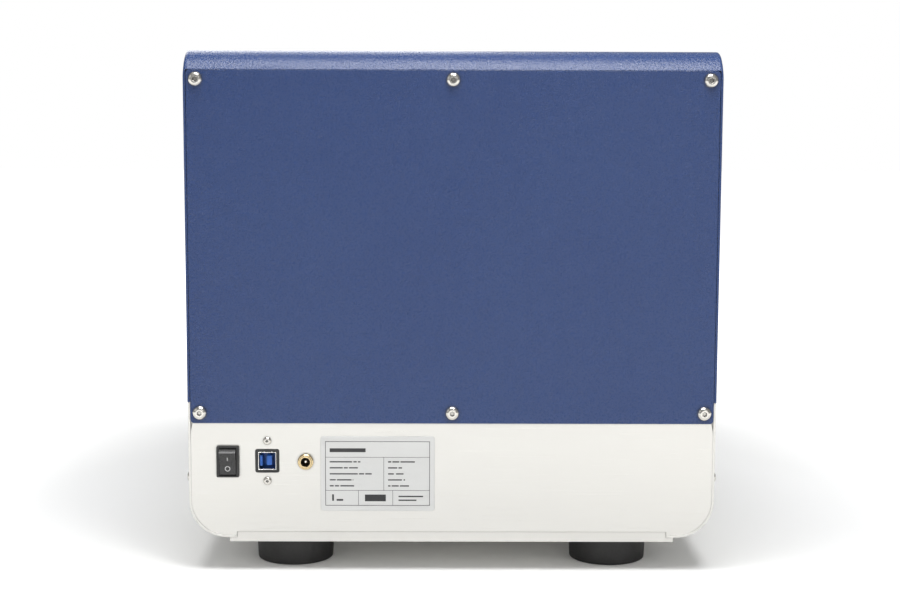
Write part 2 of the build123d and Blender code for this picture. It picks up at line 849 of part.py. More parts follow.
# Coaxial supply inlet: threaded barrel with a housing inside, nut outside, sleeve and pin
jack_front_y = skin_y + jack_proud
jack_rear_y = wall_y - jack_housing_depth
with BuildPart() as dc_jack_body:
    with BuildSketch(end_plane(1, jack_rear_y)):
        with Locations((-jack_x, jack_z)):
            Circle(jack_housing_diameter / 2)
    extrude(amount=jack_housing_depth)
    with BuildSketch(end_plane(1, wall_y)):
        with Locations((-jack_x, jack_z)):
            Circle(jack_thread / 2)
    extrude(amount=sheet + jack_proud)
    with BuildSketch(end_plane(1, jack_front_y)):
        with Locations((-jack_x, jack_z)):
            Circle(jack_bore / 2)
    extrude(amount=-(jack_front_y - jack_rear_y - jack_floor), mode=Mode.SUBTRACT)
dc_jack_body.part.label = "dc_jack_body"
export_step(dc_jack_body.part, "parts/dc_jack_body.step")

with BuildPart() as dc_jack_nut:
    with BuildSketch(end_plane(1, skin_y)):
        with Locations((-jack_x, jack_z)):
            Circle(jack_nut_diameter / 2)
            Circle(jack_thread / 2 + fit_gap, mode=Mode.SUBTRACT)
    extrude(amount=jack_nut_height)
    chamfer(dc_jack_nut.edges().sort_by(Axis.Y)[-2:].sort_by(SortBy.RADIUS)[-1], length=0.5)
dc_jack_nut.part.label = "dc_jack_nut"
export_step(dc_jack_nut.part, "parts/dc_jack_nut.step")

with BuildPart() as dc_jack_insulator:
    with BuildSketch(end_plane(1, jack_rear_y + jack_floor)):
        with Locations((-jack_x, jack_z)):
            Circle(jack_bore / 2)
            Circle(jack_pin / 2, mode=Mode.SUBTRACT)
    extrude(amount=jack_collar)
dc_jack_insulator.part.label = "dc_jack_insulator"
export_step(dc_jack_insulator.part, "parts/dc_jack_insulator.step")

with BuildPart() as dc_jack_pin:
    with BuildSketch(end_plane(1, jack_rear_y + jack_floor)):
        with Locations((-jack_x, jack_z)):
            Circle(jack_pin / 2)
    extrude(amount=jack_front_y - jack_rear_y - 2 * jack_floor)
    fillet(dc_jack_pin.edges().sort_by(Axis.Y)[-1], radius=jack_pin * 0.3)
dc_jack_pin.part.label = "dc_jack_pin"
export_step(dc_jack_pin.part, "parts/dc_jack_pin.step")

# Circuit boards on stand-offs along the rear wall
board_z = plate_top + standoff_height
board_top = board_z + board_thickness
board_rear = wall_y - board_edge_gap
board_half = frame_inner - board_frame_gap
power_left = drawer_screw_x + motor_size / 2 + board_motor_gap
power_board_width = board_half - power_left
control_board_width = board_half + drawer_screw_x - motor_size / 2 - board_motor_gap
power_x = power_left + power_board_width / 2
power_y = board_rear - power_board_depth / 2
control_x = -board_half + control_board_width / 2
control_y = board_rear - control_board_depth / 2
boards = (
    (power_x, power_y, power_board_width, power_board_depth),
    (control_x, control_y, control_board_width, control_board_depth),
)
hole_inset = 2 * standoff_diameter
with BuildPart() as circuit_boards:
    for x, y, width, depth in boards:
        with BuildSketch(Plane.XY.offset(board_z)):
            with Locations((x, y)):
                Rectangle(width, depth)
                with GridLocations(width - hole_inset, depth - hole_inset, 2, 2):
                    Circle(m3 / 2 + fit_gap, mode=Mode.SUBTRACT)
    extrude(amount=board_thickness)
circuit_boards.part.label = "circuit_boards"
export_step(circuit_boards.part, "parts/circuit_boards.step")

with BuildPart() as board_standoffs:
    for x, y, width, depth in boards:
        with BuildSketch(Plane.XY.offset(plate_top)):
            with Locations((x, y)):
                with GridLocations(width - hole_inset, depth - hole_inset, 2, 2):
                    Circle(standoff_diameter / 2)
        extrude(amount=standoff_height)
        with BuildSketch(Plane.XY.offset(board_z)):
            with Locations((x, y)):
                with GridLocations(width - hole_inset, depth - hole_inset, 2, 2):
                    Circle(m3 / 2)
        extrude(amount=board_thickness + board_pin_rise)
board_standoffs.part.label = "board_standoffs"
export_step(board_standoffs.part, "parts/board_standoffs.step")

# Parts on the boards: lead sockets, chips and capacitors
power_socket_y = board_rear - socket_setback
switch_socket_x = board_half - socket_width
usb_socket_x = control_x + control_board_width / 2 - usb_socket_inset
usb_socket_y = control_y
chip_pitch = (control_board_width - usb_socket_inset - socket_width) / chip_columns
chip_field_x = control_x - (usb_socket_inset + socket_width) / 2
sockets = ((jack_x, power_socket_y), (switch_socket_x, power_socket_y), (usb_socket_x, usb_socket_y))
with BuildPart() as board_components:
    for x, y in sockets:
        box(around(x, socket_width), around(y, socket_depth), (board_top, board_top + socket_height))
    with Locations((power_x, power_y - capacitor_offset, board_top)):
        with GridLocations(capacitor_pitch, capacitor_pitch, 2, 2):
            Cylinder(capacitor_radius, capacitor_height, align=(Align.CENTER, Align.CENTER, Align.MIN))
    with Locations((chip_field_x, control_y, board_top)):
        with GridLocations(chip_pitch, chip_row_pitch, chip_columns, 2):
            Box(chip_width, chip_depth, chip_height, align=(Align.CENTER, Align.CENTER, Align.MIN))
board_components.part.label = "board_components"
export_step(board_components.part, "parts/board_components.step")

# Leads from the supply inlet and the switch to the power board, and from the USB socket
# to the control board
socket_top = board_top + socket_height
switch_back_y = skin_y - switch_depth
socket_middle = board_top + socket_height / 2
with BuildPart() as internal_leads:
    jack_path = [
        (jack_x, jack_rear_y, jack_z),
        (jack_x, power_socket_y, jack_z),
        (jack_x, power_socket_y, socket_top),
    ]
    add(held_lead(jack_path, lead_diameter * 2.5, lead_diameter))
    switch_path = [
        (switch_x, switch_back_y, switch_z),
        (switch_x, power_socket_y, switch_z),
        (switch_x, power_socket_y, socket_middle),
        (switch_socket_x + socket_width / 2, power_socket_y, socket_middle),
    ]
    add(held_lead(switch_path, lead_diameter * 2.5, lead_diameter))
    usb_path = [
        (usb_x, usb_rear_y, usb_z),
        (usb_x, usb_socket_y, usb_z),
        (usb_socket_x, usb_socket_y, usb_z),
        (usb_socket_x, usb_socket_y, socket_top),
    ]
    add(held_lead(usb_path, usb_lead_diameter * 2.5, usb_lead_diameter))
internal_leads.part.label = "internal_leads"
export_step(internal_leads.part, "parts/internal_leads.step")

# Riser bars under the drawer rails
rail_length = rail_rear - rail_front
with BuildPart() as riser_bars:
    for side in (-1, 1):
        box(around(side * rail_spread / 2, riser_width), (rail_front, rail_rear), (plate_top, rail_base))
riser_bars.part.label = "riser_bars"
export_step(riser_bars.part, "parts/riser_bars.step")


def along_y(x, y, z):
    """Plane across the Y direction with its local y upwards."""
    return Plane(origin=(x, y, z), x_dir=(1, 0, 0), z_dir=(0, -1, 0))


# Profile rails of the drawer and of the bridge
bridge_rail_rear = beam_y + bridge_rail_length / 2
with BuildPart() as guide_rails:
    for side in (-1, 1):
        drawer_plane = along_y(side * rail_spread / 2, rail_rear, rail_base)
        extrude(rail_section(drawer_plane, rail_width, rail_height), amount=rail_length)
        bridge_plane = along_y(side * frame_x, bridge_rail_rear, frame_top)
        extrude(rail_section(bridge_plane, rail_width, rail_height), amount=bridge_rail_length)
guide_rails.part.label = "guide_rails"
export_step(guide_rails.part, "parts/guide_rails.step")


def runner(plane, width, height, length, bar_width, bar_height):
    """Runner block round a profile rail, starting at the plane and running along its normal."""
    lift = height * 0.1
    with BuildPart() as block:
        with BuildSketch(plane):
            with Locations((0, lift)):
                Rectangle(width, height - lift, align=(Align.CENTER, Align.MIN))
        extrude(amount=length)
        extrude(
            rail_section(plane, bar_width, bar_height, fit_gap),
            amount=length,
            mode=Mode.SUBTRACT,
        )
    return block.part


# Four runner blocks under the tray
first_block_y = tray_rear - block_rear_inset
with BuildPart() as rail_blocks:
    for side in (-1, 1):
        for row in (0, 1):
            start = first_block_y - row * block_pitch + block_length / 2
            plane = along_y(side * rail_spread / 2, start, rail_base)
            add(runner(plane, block_width, block_height, block_length, rail_width, rail_height))
rail_blocks.part.label = "rail_blocks"
export_step(rail_blocks.part, "parts/rail_blocks.step")

# Tray with the plate nest, the light window, a recess for the clamp and two lightening windows
clamp_x = nest_width / 2 + clamp_setback
clamp_y = nest_y - clamp_reach + clamp_front_gap
recess_front = clamp_y - clamp_hub / 2 - clamp_front_gap
recess_rear = clamp_y + clamp_reach + clamp_setback
pocket_z = tray_top - nest_pocket
nest_rear = nest_y + nest_depth / 2
with BuildPart() as plate_tray:
    with BuildSketch(Plane.XY.offset(tray_bottom)):
        with Locations((0, tray_rear)):
            Rectangle(tray_width, tray_rear - front_back_y, align=(Align.CENTER, Align.MAX))
        with Locations((0, nest_y)):
            Rectangle(nest_width - 2 * nest_rim, nest_depth - 2 * nest_rim, mode=Mode.SUBTRACT)
        with Locations((0, (nest_rear + tray_rear) / 2)):
            with GridLocations(tray_window_pitch, 0, 2, 1):
                Rectangle(tray_window_width, tray_rear - nest_rear - 2 * tray_window_margin,
                          mode=Mode.SUBTRACT)
    extrude(amount=tray_thickness)
    with BuildSketch(Plane.XY.offset(tray_top)):
        with Locations((0, nest_y)):
            RectangleRounded(nest_width, nest_depth, nest_corner)
    extrude(amount=-nest_pocket, mode=Mode.SUBTRACT)
    box(
        (nest_width / 2 - over_cut, nest_width / 2 + clamp_room),
        (recess_front, recess_rear),
        (pocket_z, tray_top + over_cut),
        mode=Mode.SUBTRACT,
    )
    with Locations((clamp_x, clamp_y, pocket_z)):
        Hole(clamp_pin_diameter / 2, depth=clamp_pin_sink)
plate_tray.part.label = "plate_tray"
export_step(plate_tray.part, "parts/plate_tray.step")

front_half = opening_half + front_overlap
front_height = opening_top - opening_bottom + 2 * front_overlap
with BuildPart() as drawer_front:
    with BuildSketch(end_plane(-1, -front_back_y)):
        with Locations((0, (opening_bottom + opening_top) / 2)):
            RectangleRounded(2 * front_half, front_height, front_corner)
    extrude(amount=front_thickness)
    fillet(drawer_front.faces().sort_by(Axis.Y)[0].edges(), radius=0.8)
drawer_front.part.label = "drawer_front"
export_step(drawer_front.part, "parts/drawer_front.step")

with BuildPart() as drawer_light_seal:
    with BuildSketch(end_plane(-1, -front_back_y)):
        with Locations((0, (opening_bottom + opening_top) / 2)):
            RectangleRounded(2 * (front_half - seal_inset), front_height - 2 * seal_inset, opening_corner)
            RectangleRounded(2 * opening_half + seal_inset, opening_top - opening_bottom + seal_inset,
                             opening_corner, mode=Mode.SUBTRACT)
    extrude(amount=-seal_thickness)
drawer_light_seal.part.label = "drawer_light_seal"
export_step(drawer_light_seal.part, "parts/drawer_light_seal.step")

# Clamp lever that presses the plate into the corner of its nest, on a pin with a coil spring
clamp_top = tray_top - clamp_sink
clamp_bottom = clamp_top - clamp_thickness
finger_x = nest_width / 2 - clamp_bite
clamp_end_y = clamp_y + clamp_reach
with BuildPart() as plate_clamp:
    with BuildSketch(Plane.XY.offset(clamp_bottom)):
        with Locations((clamp_x, clamp_y)):
            Circle(clamp_hub / 2)
        with BuildLine():
            Polyline(
                (clamp_x - clamp_arm / 2, clamp_y),
                (clamp_x - clamp_arm / 2, clamp_end_y - clamp_nose - clamp_taper),
                (finger_x, clamp_end_y - clamp_nose),
                (finger_x, clamp_end_y),
                (clamp_x + clamp_arm / 2, clamp_end_y),
                (clamp_x + clamp_arm / 2, clamp_y),
                close=True,
            )
        make_face()
        with Locations((clamp_x, clamp_y)):
            Circle(clamp_pin_diameter / 2 + fit_gap, mode=Mode.SUBTRACT)
    extrude(amount=clamp_thickness)
plate_clamp.part.label = "plate_clamp"
export_step(plate_clamp.part, "parts/plate_clamp.step")

with BuildPart() as clamp_pin:
    with BuildSketch(Plane.XY.offset(pocket_z - clamp_pin_sink)):
        with Locations((clamp_x, clamp_y)):
            Circle(clamp_pin_diameter / 2)
    extrude(amount=nest_pocket + clamp_pin_sink)
clamp_pin.part.label = "clamp_pin"
export_step(clamp_pin.part, "parts/clamp_pin.step")

spring_foot = pocket_z + spring_wire / 2 + spring_gap
spring_height = clamp_bottom - pocket_z - spring_wire - 6 * spring_gap
spring_radius = clamp_pin_diameter / 2 + spring_wire
with BuildPart() as clamp_spring:
    with BuildLine() as coil:
        Helix(pitch=spring_height / spring_turns, height=spring_height, radius=spring_radius,
              center=(clamp_x, clamp_y, spring_foot))
    with BuildSketch(Plane(origin=coil.line @ 0, z_dir=coil.line % 0)):
        Circle(spring_wire / 2)
    sweep(path=coil.line, is_frenet=True)
clamp_spring.part.label = "clamp_spring"
export_step(clamp_spring.part, "parts/clamp_spring.step")

# Lead nut under the tray
with BuildPart() as drawer_nut:
    box(around(drawer_screw_x, nut_block), around(nut_y, nut_length), (tray_bottom - nut_block, tray_bottom))
    bar((drawer_screw_x, nut_y - nut_length, drawer_screw_z), (0, 1, 0), screw_radius + fit_gap,
        2 * nut_length, mode=Mode.SUBTRACT)
drawer_nut.part.label = "drawer_nut"
export_step(drawer_nut.part, "parts/drawer_nut.step")

# Lead screws of the drawer and of the bridge run from a bearing in front into their motors
drawer_bearing_y = nut_y - nut_length / 2 - drawer_travel - bearing_gap - mount_length
bridge_bearing_y = beam_y - bridge_half - bridge_bearing_room - mount_length
bridge_motor_y = beam_y + bridge_half + bridge_motor_room
with BuildPart() as drawer_screw:
    start = (drawer_screw_x, drawer_bearing_y, drawer_screw_z)
    bar(start, (0, 1, 0), screw_radius, motor_face_y + motor_socket / 2 - drawer_bearing_y)
drawer_screw.part.label = "drawer_screw"
export_step(drawer_screw.part, "parts/drawer_screw.step")

with BuildPart() as bridge_screw:
    start = (bridge_screw_x, bridge_bearing_y, bridge_screw_z)
    bar(start, (0, 1, 0), screw_radius, bridge_motor_y + motor_socket / 2 - bridge_bearing_y)
bridge_screw.part.label = "bridge_screw"
export_step(bridge_screw.part, "parts/bridge_screw.step")

# Bearing blocks and motor brackets that stand on the bottom plate or on the right frame
half_motor = motor_size / 2
pilot_hole = motor_pilot / 2 + 2 * cutout_gap
with BuildPart() as screw_mounts:
    bearing_y = (drawer_bearing_y, drawer_bearing_y + mount_length)
    box(around(drawer_screw_x, nut_block), bearing_y, (plate_top, drawer_screw_z + nut_block * 0.45))
    bar((drawer_screw_x, drawer_bearing_y, drawer_screw_z), (0, 1, 0), screw_radius + fit_gap,
        mount_length, mode=Mode.SUBTRACT)
    bracket_y = (motor_face_y - bracket_thickness, motor_face_y)
    box(around(drawer_screw_x, motor_size), bracket_y, (plate_top, drawer_screw_z + half_motor))
    bar((drawer_screw_x, bracket_y[0], drawer_screw_z), (0, 1, 0), pilot_hole,
        bracket_thickness, mode=Mode.SUBTRACT)
    bearing_y = (bridge_bearing_y, bridge_bearing_y + mount_length)
    box((bridge_screw_x - nut_block / 2, frame_inner), bearing_y, around(bridge_screw_z, nut_block))
    bar((bridge_screw_x, bridge_bearing_y, bridge_screw_z), (0, 1, 0), screw_radius + fit_gap,
        mount_length, mode=Mode.SUBTRACT)
    bracket_y = (bridge_motor_y - bracket_thickness, bridge_motor_y)
    box((bridge_screw_x - half_motor, frame_inner), bracket_y,
        (bridge_screw_z - half_motor, bridge_screw_z + half_motor))
    bar((bridge_screw_x, bracket_y[0], bridge_screw_z), (0, 1, 0), pilot_hole,
        bracket_thickness, mode=Mode.SUBTRACT)
screw_mounts.part.label = "screw_mounts"
export_step(screw_mounts.part, "parts/screw_mounts.step")

with BuildPart() as stepper_motors:
    drawer_motor_plane = Plane(origin=(drawer_screw_x, motor_face_y, drawer_screw_z), z_dir=(0, -1, 0))
    bridge_motor_plane = Plane(origin=(bridge_screw_x, bridge_motor_y, bridge_screw_z), z_dir=(0, -1, 0))
    add(stepper(drawer_motor_plane, motor_size, motor_length))
    add(stepper(bridge_motor_plane, motor_size, motor_length))
stepper_motors.part.label = "stepper_motors"
export_step(stepper_motors.part, "parts/stepper_motors.step")

# Brightfield lamp under the nest: an open box with a diffuser let into its rim
with BuildPart() as lamp_housing:
    box(around(0, lamp_width), around(nest_y, lamp_depth), (plate_top, plate_top + lamp_height))
    box(around(0, lamp_width - 2 * lamp_wall), around(nest_y, lamp_depth - 2 * lamp_wall),
        (plate_top + lamp_floor, plate_top + lamp_height + over_cut), mode=Mode.SUBTRACT)
lamp_housing.part.label = "lamp_housing"
export_step(lamp_housing.part, "parts/lamp_housing.step")

with BuildPart() as lamp_diffuser:
    lamp_rim = plate_top + lamp_height
    box(around(0, lamp_width), around(nest_y, lamp_depth), (lamp_rim, lamp_rim + diffuser_thickness))
lamp_diffuser.part.label = "lamp_diffuser"
export_step(lamp_diffuser.part, "parts/lamp_diffuser.step")

# Two upright frames with windows carry the bridge over the drawer
bay = (frame_rear - frame_front) / 2
with BuildPart() as gantry_frames:
    for side in (-1, 1):
        with BuildSketch(Plane.YZ.offset(side * frame_x)):
            with Locations(((frame_front + frame_rear) / 2, (plate_top + frame_top) / 2)):
                Rectangle(2 * bay, frame_height)
                with GridLocations(bay, 0, 2, 1):
                    RectangleRounded(bay - 2 * frame_window_margin, frame_height - 2 * frame_rail_margin,
                                     frame_window_radius, mode=Mode.SUBTRACT)
        extrude(amount=frame_thickness / 2, both=True)
gantry_frames.part.label = "gantry_frames"
export_step(gantry_frames.part, "parts/gantry_frames.step")

# Bridge: a hollow beam on two runner blocks, with a lead nut below it
with BuildPart() as bridge_beam:
    beam_z = (beam_bottom + beam_top) / 2
    with BuildSketch(Plane.YZ):
        with Locations((beam_y, beam_z)):
            Rectangle(beam_depth, beam_height)
            with GridLocations(0, beam_height / 2 - beam_wall / 4, 1, 2):
                Rectangle(
                    beam_depth - 2 * beam_wall,
                    beam_height / 2 - 1.5 * beam_wall,
                    mode=Mode.SUBTRACT,
                )
    extrude(amount=frame_x + beam_overhang, both=True)
    bearing_x = -(cross_travel + nut_block / 2 + cross_bearing_room)
    bracket_x = cross_half + cross_motor_gap
    box((bearing_x - mount_length, bearing_x), around(cross_screw_y, nut_block),
        (beam_top, cross_screw_z + nut_block / 2))
    bar((bearing_x - mount_length, cross_screw_y, cross_screw_z), (1, 0, 0),
        screw_radius + fit_gap, mount_length, mode=Mode.SUBTRACT)
    box((bracket_x, bracket_x + bracket_thickness), around(cross_screw_y, motor_size),
        (beam_top, cross_screw_z + half_motor))
    bar((bracket_x, cross_screw_y, cross_screw_z), (1, 0, 0), pilot_hole, bracket_thickness,
        mode=Mode.SUBTRACT)
bridge_beam.part.label = "bridge_beam"
export_step(bridge_beam.part, "parts/bridge_beam.step")

with BuildPart() as bridge_blocks:
    for side in (-1, 1):
        plane = along_y(side * frame_x, beam_y + bridge_block_length / 2, frame_top)
        add(runner(plane, block_width, block_height, bridge_block_length, rail_width, rail_height))
bridge_blocks.part.label = "bridge_blocks"
export_step(bridge_blocks.part, "parts/bridge_blocks.step")

with BuildPart() as bridge_nut:
    box(around(bridge_screw_x, nut_block), around(beam_y, nut_length),
        (bridge_screw_z - nut_block / 2, beam_bottom))
    bar((bridge_screw_x, beam_y - nut_length, bridge_screw_z), (0, 1, 0), screw_radius + fit_gap,
        2 * nut_length, mode=Mode.SUBTRACT)
bridge_nut.part.label = "bridge_nut"
export_step(bridge_nut.part, "parts/bridge_nut.step")


def along_x(x):
    """Plane across the X direction on the beam's front face, its local y towards the front."""
    return Plane(origin=(x, beam_front, beam_z), x_dir=(0, 0, 1), z_dir=(1, 0, 0))


with BuildPart() as cross_rail:
    extrude(
        rail_section(along_x(-cross_rail_length / 2), cross_rail_width, cross_rail_height),
        amount=cross_rail_length,
    )
cross_rail.part.label = "cross_rail"
export_step(cross_rail.part, "parts/cross_rail.step")

cross_motor_x = bracket_x + bracket_thickness
with BuildPart() as cross_motor:
    motor_plane = Plane(origin=(cross_motor_x, cross_screw_y, cross_screw_z), z_dir=(-1, 0, 0))
    add(stepper(motor_plane, motor_size, motor_length))
cross_motor.part.label = "cross_motor"
export_step(cross_motor.part, "parts/cross_motor.step")

with BuildPart() as cross_screw:
    start_x = bearing_x - mount_length
    bar((start_x, cross_screw_y, cross_screw_z), (1, 0, 0), screw_radius,
        cross_motor_x + motor_socket / 2 - start_x)
cross_screw.part.label = "cross_screw"
export_step(cross_screw.part, "parts/cross_screw.step")

with BuildPart() as cross_block:
    block_plane = along_x(-cross_block_length / 2)
    add(runner(block_plane, cross_block_width, cross_block_depth, cross_block_length,
               cross_rail_width, cross_rail_height))
cross_block.part.label = "cross_block"
export_step(cross_block.part, "parts/cross_block.step")


def dovetail(grow):
    """Plan section of the focus slide's dovetail, widening towards the focus plate."""
    root = dovetail_width * 0.4 + grow
    tip = dovetail_width / 2 + grow
    nose_y = focus_back + fit_gap - grow
    with BuildSketch() as section:
        Polygon((-root, carriage_front), (-tip, nose_y), (tip, nose_y), (root, carriage_front), align=None)
    return section.sketch


# Optics carriage: an upright plate with a dovetail, a shelf for the focus motor and the nut boss
with BuildPart() as optics_carriage:
    box((-carriage_width / 2, carriage_width / 2), (carriage_front, carriage_back),
        (carriage_bottom, carriage_top))
    box(around(0, focus_motor_size + 4), (carriage_front, carriage_front + shelf_depth),
        (carriage_top - shelf_thickness, carriage_top))
    extrude(dovetail(0).moved(Location((0, 0, carriage_bottom + dovetail_rise))), amount=dovetail_length)
    box(around(0, nut_block), (carriage_back, cross_screw_y + nut_block * 0.45),
        around(cross_screw_z, nut_block))
    bar((-nut_block, cross_screw_y, cross_screw_z), (1, 0, 0), screw_radius + fit_gap,
        2 * nut_block, mode=Mode.SUBTRACT)
optics_carriage.part.label = "optics_carriage"
export_step(optics_carriage.part, "parts/optics_carriage.step")

# Focus motor on the shelf: its rod lifts the flange of the focus plate
focus_motor_top = carriage_top + focus_motor_height
with BuildPart() as focus_motor:
    with BuildSketch(Plane.XY.offset(carriage_top)):
        with Locations((0, focus_motor_y)):
            Rectangle(focus_motor_size, focus_motor_size)
        chamfer(vertices(), length=motor_chamfer)
        with Locations((0, focus_motor_y)):
            Circle(focus_rod_diameter / 2 + fit_gap, mode=Mode.SUBTRACT)
    extrude(amount=focus_motor_height)
focus_motor.part.label = "focus_motor"
export_step(focus_motor.part, "parts/focus_motor.step")

flange_z = focus_motor_top + focus_flange_gap
pad_bottom = carriage_bottom + focus_pad_rise
rod_bottom = carriage_top + 1.5 * focus_travel
with BuildPart() as focus_plate:
    box(around(0, focus_plate_width), (focus_front, focus_back), (cube_bottom, flange_z + shelf_thickness))
    box(around(0, focus_motor_size), (focus_front, focus_motor_y + focus_flange_reach),
        (flange_z, flange_z + shelf_thickness))
    box(around(0, focus_plate_width), (focus_back, carriage_front - focus_pad_gap),
        (pad_bottom, pad_bottom + focus_pad_height))
    extrude(
        dovetail(fit_gap).moved(Location((0, 0, carriage_bottom))),
        amount=dovetail_length + 2 * dovetail_rise,
        mode=Mode.SUBTRACT,
    )
    bar((0, focus_motor_y, rod_bottom), (0, 0, 1), focus_rod_diameter / 2, flange_z - rod_bottom)
focus_plate.part.label = "focus_plate"
export_step(focus_plate.part, "parts/focus_plate.step")

# Filter cube on the optical axis, with a side port for the lamp
led_z = (cube_bottom + cube_top) / 2 + led_lift
cube_front = 2 * nest_y - focus_front
with BuildPart() as filter_cube:
    box(around(0, cube_width), (cube_front, focus_front), (cube_bottom, cube_top))
    bar((0, nest_y, cube_bottom), (0, 0, 1), light_bore / 2, cube_height, mode=Mode.SUBTRACT)
    bar((0, nest_y, led_z), (1, 0, 0), light_bore / 2, cube_width, mode=Mode.SUBTRACT)
filter_cube.part.label = "filter_cube"
export_step(filter_cube.part, "parts/filter_cube.step")

with BuildPart() as led_module:
    for step in range(led_fins):
        start = cube_width / 2 + led_length * (0.4 + step * 0.1)
        box((start, start + led_length * 0.05), around(nest_y, led_size), around(led_z, led_size))
    box((cube_width / 2, cube_width / 2 + led_length * 0.4), around(nest_y, led_size),
        around(led_z, led_size))
    box((cube_width / 2, cube_width / 2 + led_length), around(nest_y, led_size * 0.5),
        around(led_z, led_size * 0.5))
led_module.part.label = "led_module"
export_step(led_module.part, "parts/led_module.step")

objective_radius = objective_diameter / 2
with BuildPart() as objective:
    with BuildSketch(Plane.XZ.offset(-nest_y)):
        with BuildLine():
            Polyline(
                (light_bore * 0.25, objective_bottom),
                (objective_radius * 0.5, objective_bottom),
                (objective_radius, objective_bottom + objective_height * 0.25),
                (objective_radius, cube_bottom - 4),
                (light_bore / 2 + 1, cube_bottom - 4),
                (light_bore / 2 + 1, cube_bottom),
                (light_bore * 0.25, cube_bottom),
                close=True,
            )
        make_face()
    revolve(axis=Axis((0, nest_y, 0), (0, 0, 1)))
objective.part.label = "objective"
export_step(objective.part, "parts/objective.step")

tube_radius = tube_diameter / 2
with BuildPart() as tube_lens:
    with BuildSketch(Plane.XZ.offset(-nest_y)):
        with BuildLine():
            Polyline(
                (light_bore / 2, cube_top),
                (tube_radius, cube_top),
                (tube_radius, cube_top + tube_height * 0.3),
                (tube_radius - 2, cube_top + tube_height * 0.35),
                (tube_radius - 2, tube_top - tube_height * 0.15),
                (tube_radius, tube_top - tube_height * 0.1),
                (tube_radius, tube_top),
                (light_bore / 2, tube_top),
                close=True,
            )
        make_face()
    revolve(axis=Axis((0, nest_y, 0), (0, 0, 1)))
tube_lens.part.label = "tube_lens"
export_step(tube_lens.part, "parts/tube_lens.step")

with BuildPart() as camera:
    box(around(0, camera_size), (cube_front, focus_front), (tube_top, camera_top))
    for level in range(5):
        z = tube_top + camera_height * (0.3 + 0.12 * level)
        for side in (-1, 1):
            box(around(side * camera_size / 2, 6), (cube_front + 4, focus_front - 4), (z, z + 2.5),
                mode=Mode.SUBTRACT)
    bar((0, nest_y, tube_top), (0, 0, 1), light_bore / 2, 8, mode=Mode.SUBTRACT)
camera.part.label = "camera"
export_step(camera.part, "parts/camera.step")
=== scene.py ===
# %% [markdown]
# # Automated cell counter, dressed for a picture
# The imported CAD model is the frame: its solids already have the right size and place. This lesson
# gives every solid a finish, adds the few shapes that CAD leaves plain, which are threads and
# printed marks, and sets up the studio. Metres throughout, +Z up, and the rear wall faces +Y.

# %% Load the frame
import math

import bmesh
import bpy
import numpy as np
from mathutils import Euler, Matrix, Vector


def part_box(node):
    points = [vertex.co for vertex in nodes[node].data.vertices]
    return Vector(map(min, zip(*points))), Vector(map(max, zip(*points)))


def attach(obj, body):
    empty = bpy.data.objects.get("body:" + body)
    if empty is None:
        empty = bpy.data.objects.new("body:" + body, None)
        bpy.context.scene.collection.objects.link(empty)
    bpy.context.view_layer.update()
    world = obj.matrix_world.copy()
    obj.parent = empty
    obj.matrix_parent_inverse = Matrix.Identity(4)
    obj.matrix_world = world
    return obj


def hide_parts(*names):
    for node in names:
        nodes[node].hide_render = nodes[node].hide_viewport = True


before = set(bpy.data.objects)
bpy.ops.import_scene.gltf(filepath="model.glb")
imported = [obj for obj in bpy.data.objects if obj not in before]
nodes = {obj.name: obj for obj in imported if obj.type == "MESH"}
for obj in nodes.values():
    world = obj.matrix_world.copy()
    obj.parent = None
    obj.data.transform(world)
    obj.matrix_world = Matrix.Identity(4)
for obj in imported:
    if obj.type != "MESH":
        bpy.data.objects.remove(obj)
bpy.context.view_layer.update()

# %% [markdown]
# ## A short way to write shader nodes
# A material is a small network of nodes. One helper adds a node and fills its inputs, each with a
# plain value or with another node's output, so that a finish reads as a few lines. A value that is
# the same all over a surface is set on the shader itself, because the export keeps it there.

# %% Nodes and shaders
def put(tree, kind, settings=None, **inputs):
    """Add one shader node. An input named i3 is the fourth socket; others go by their name."""
    made = tree.nodes.new("ShaderNode" + kind)
    for key, value in (settings or {}).items():
        setattr(made, key, value)
    for key, value in inputs.items():
        by_number = key[0] == "i" and key[1:].isdigit()
        socket = made.inputs[int(key[1:])] if by_number else made.inputs[key.replace("_", " ")]
        if isinstance(value, bpy.types.NodeSocket):
            tree.links.new(value, socket)
        else:
            socket.default_value = value
    return made


def finish(name, roughness, metallic=0.0, specular=0.5):
    """New material: returns it with its tree and its shader, constants set on the shader."""
    material = bpy.data.materials.new(name)
    material.use_nodes = True
    shader = material.node_tree.nodes["Principled BSDF"]
    shader.inputs["Roughness"].default_value = roughness
    shader.inputs["Metallic"].default_value = metallic
    shader.inputs["Specular IOR Level"].default_value = specular
    return material, material.node_tree, shader


def wire(shader, **patterns):
    """Link each pattern to the shader's input of that name."""
    for key, socket in patterns.items():
        shader.id_data.links.new(socket, shader.inputs[key.replace("_", " ")])


# %% [markdown]
# ## Patterns in metres
# Patterns read Object coordinates. Every solid's object sits at the origin, so a pattern is
# measured in metres, and it moves with its piece.

# %% Pattern helpers
def place(tree, scale=(1, 1, 1)):
    """Object coordinates, stretched along each axis, for a pattern to follow."""
    coordinates = put(tree, "TexCoord").outputs["Object"]
    return put(tree, "Mapping", Vector=coordinates, Scale=scale).outputs[0]


def noise(tree, vector, scale, detail=2.0, rough=0.5):
    """Cloudy noise from 0 to 1 about 0.5; scale is in blotches per metre."""
    made = put(tree, "TexNoise", Vector=vector, Scale=scale, Detail=detail, Roughness=rough)
    return made.outputs["Fac"]


def remap(tree, value, low, high, to_low=0.0, to_high=1.0):
    """Stretch a value between two limits to a new range, and hold it there."""
    made = put(tree, "MapRange", Value=value, From_Min=low, From_Max=high, To_Min=to_low,
               To_Max=to_high)
    return made.outputs[0]


def join(tree, operation, first, second):
    """Arithmetic on two values."""
    return put(tree, "Math", {"operation": operation}, i0=first, i1=second).outputs[0]


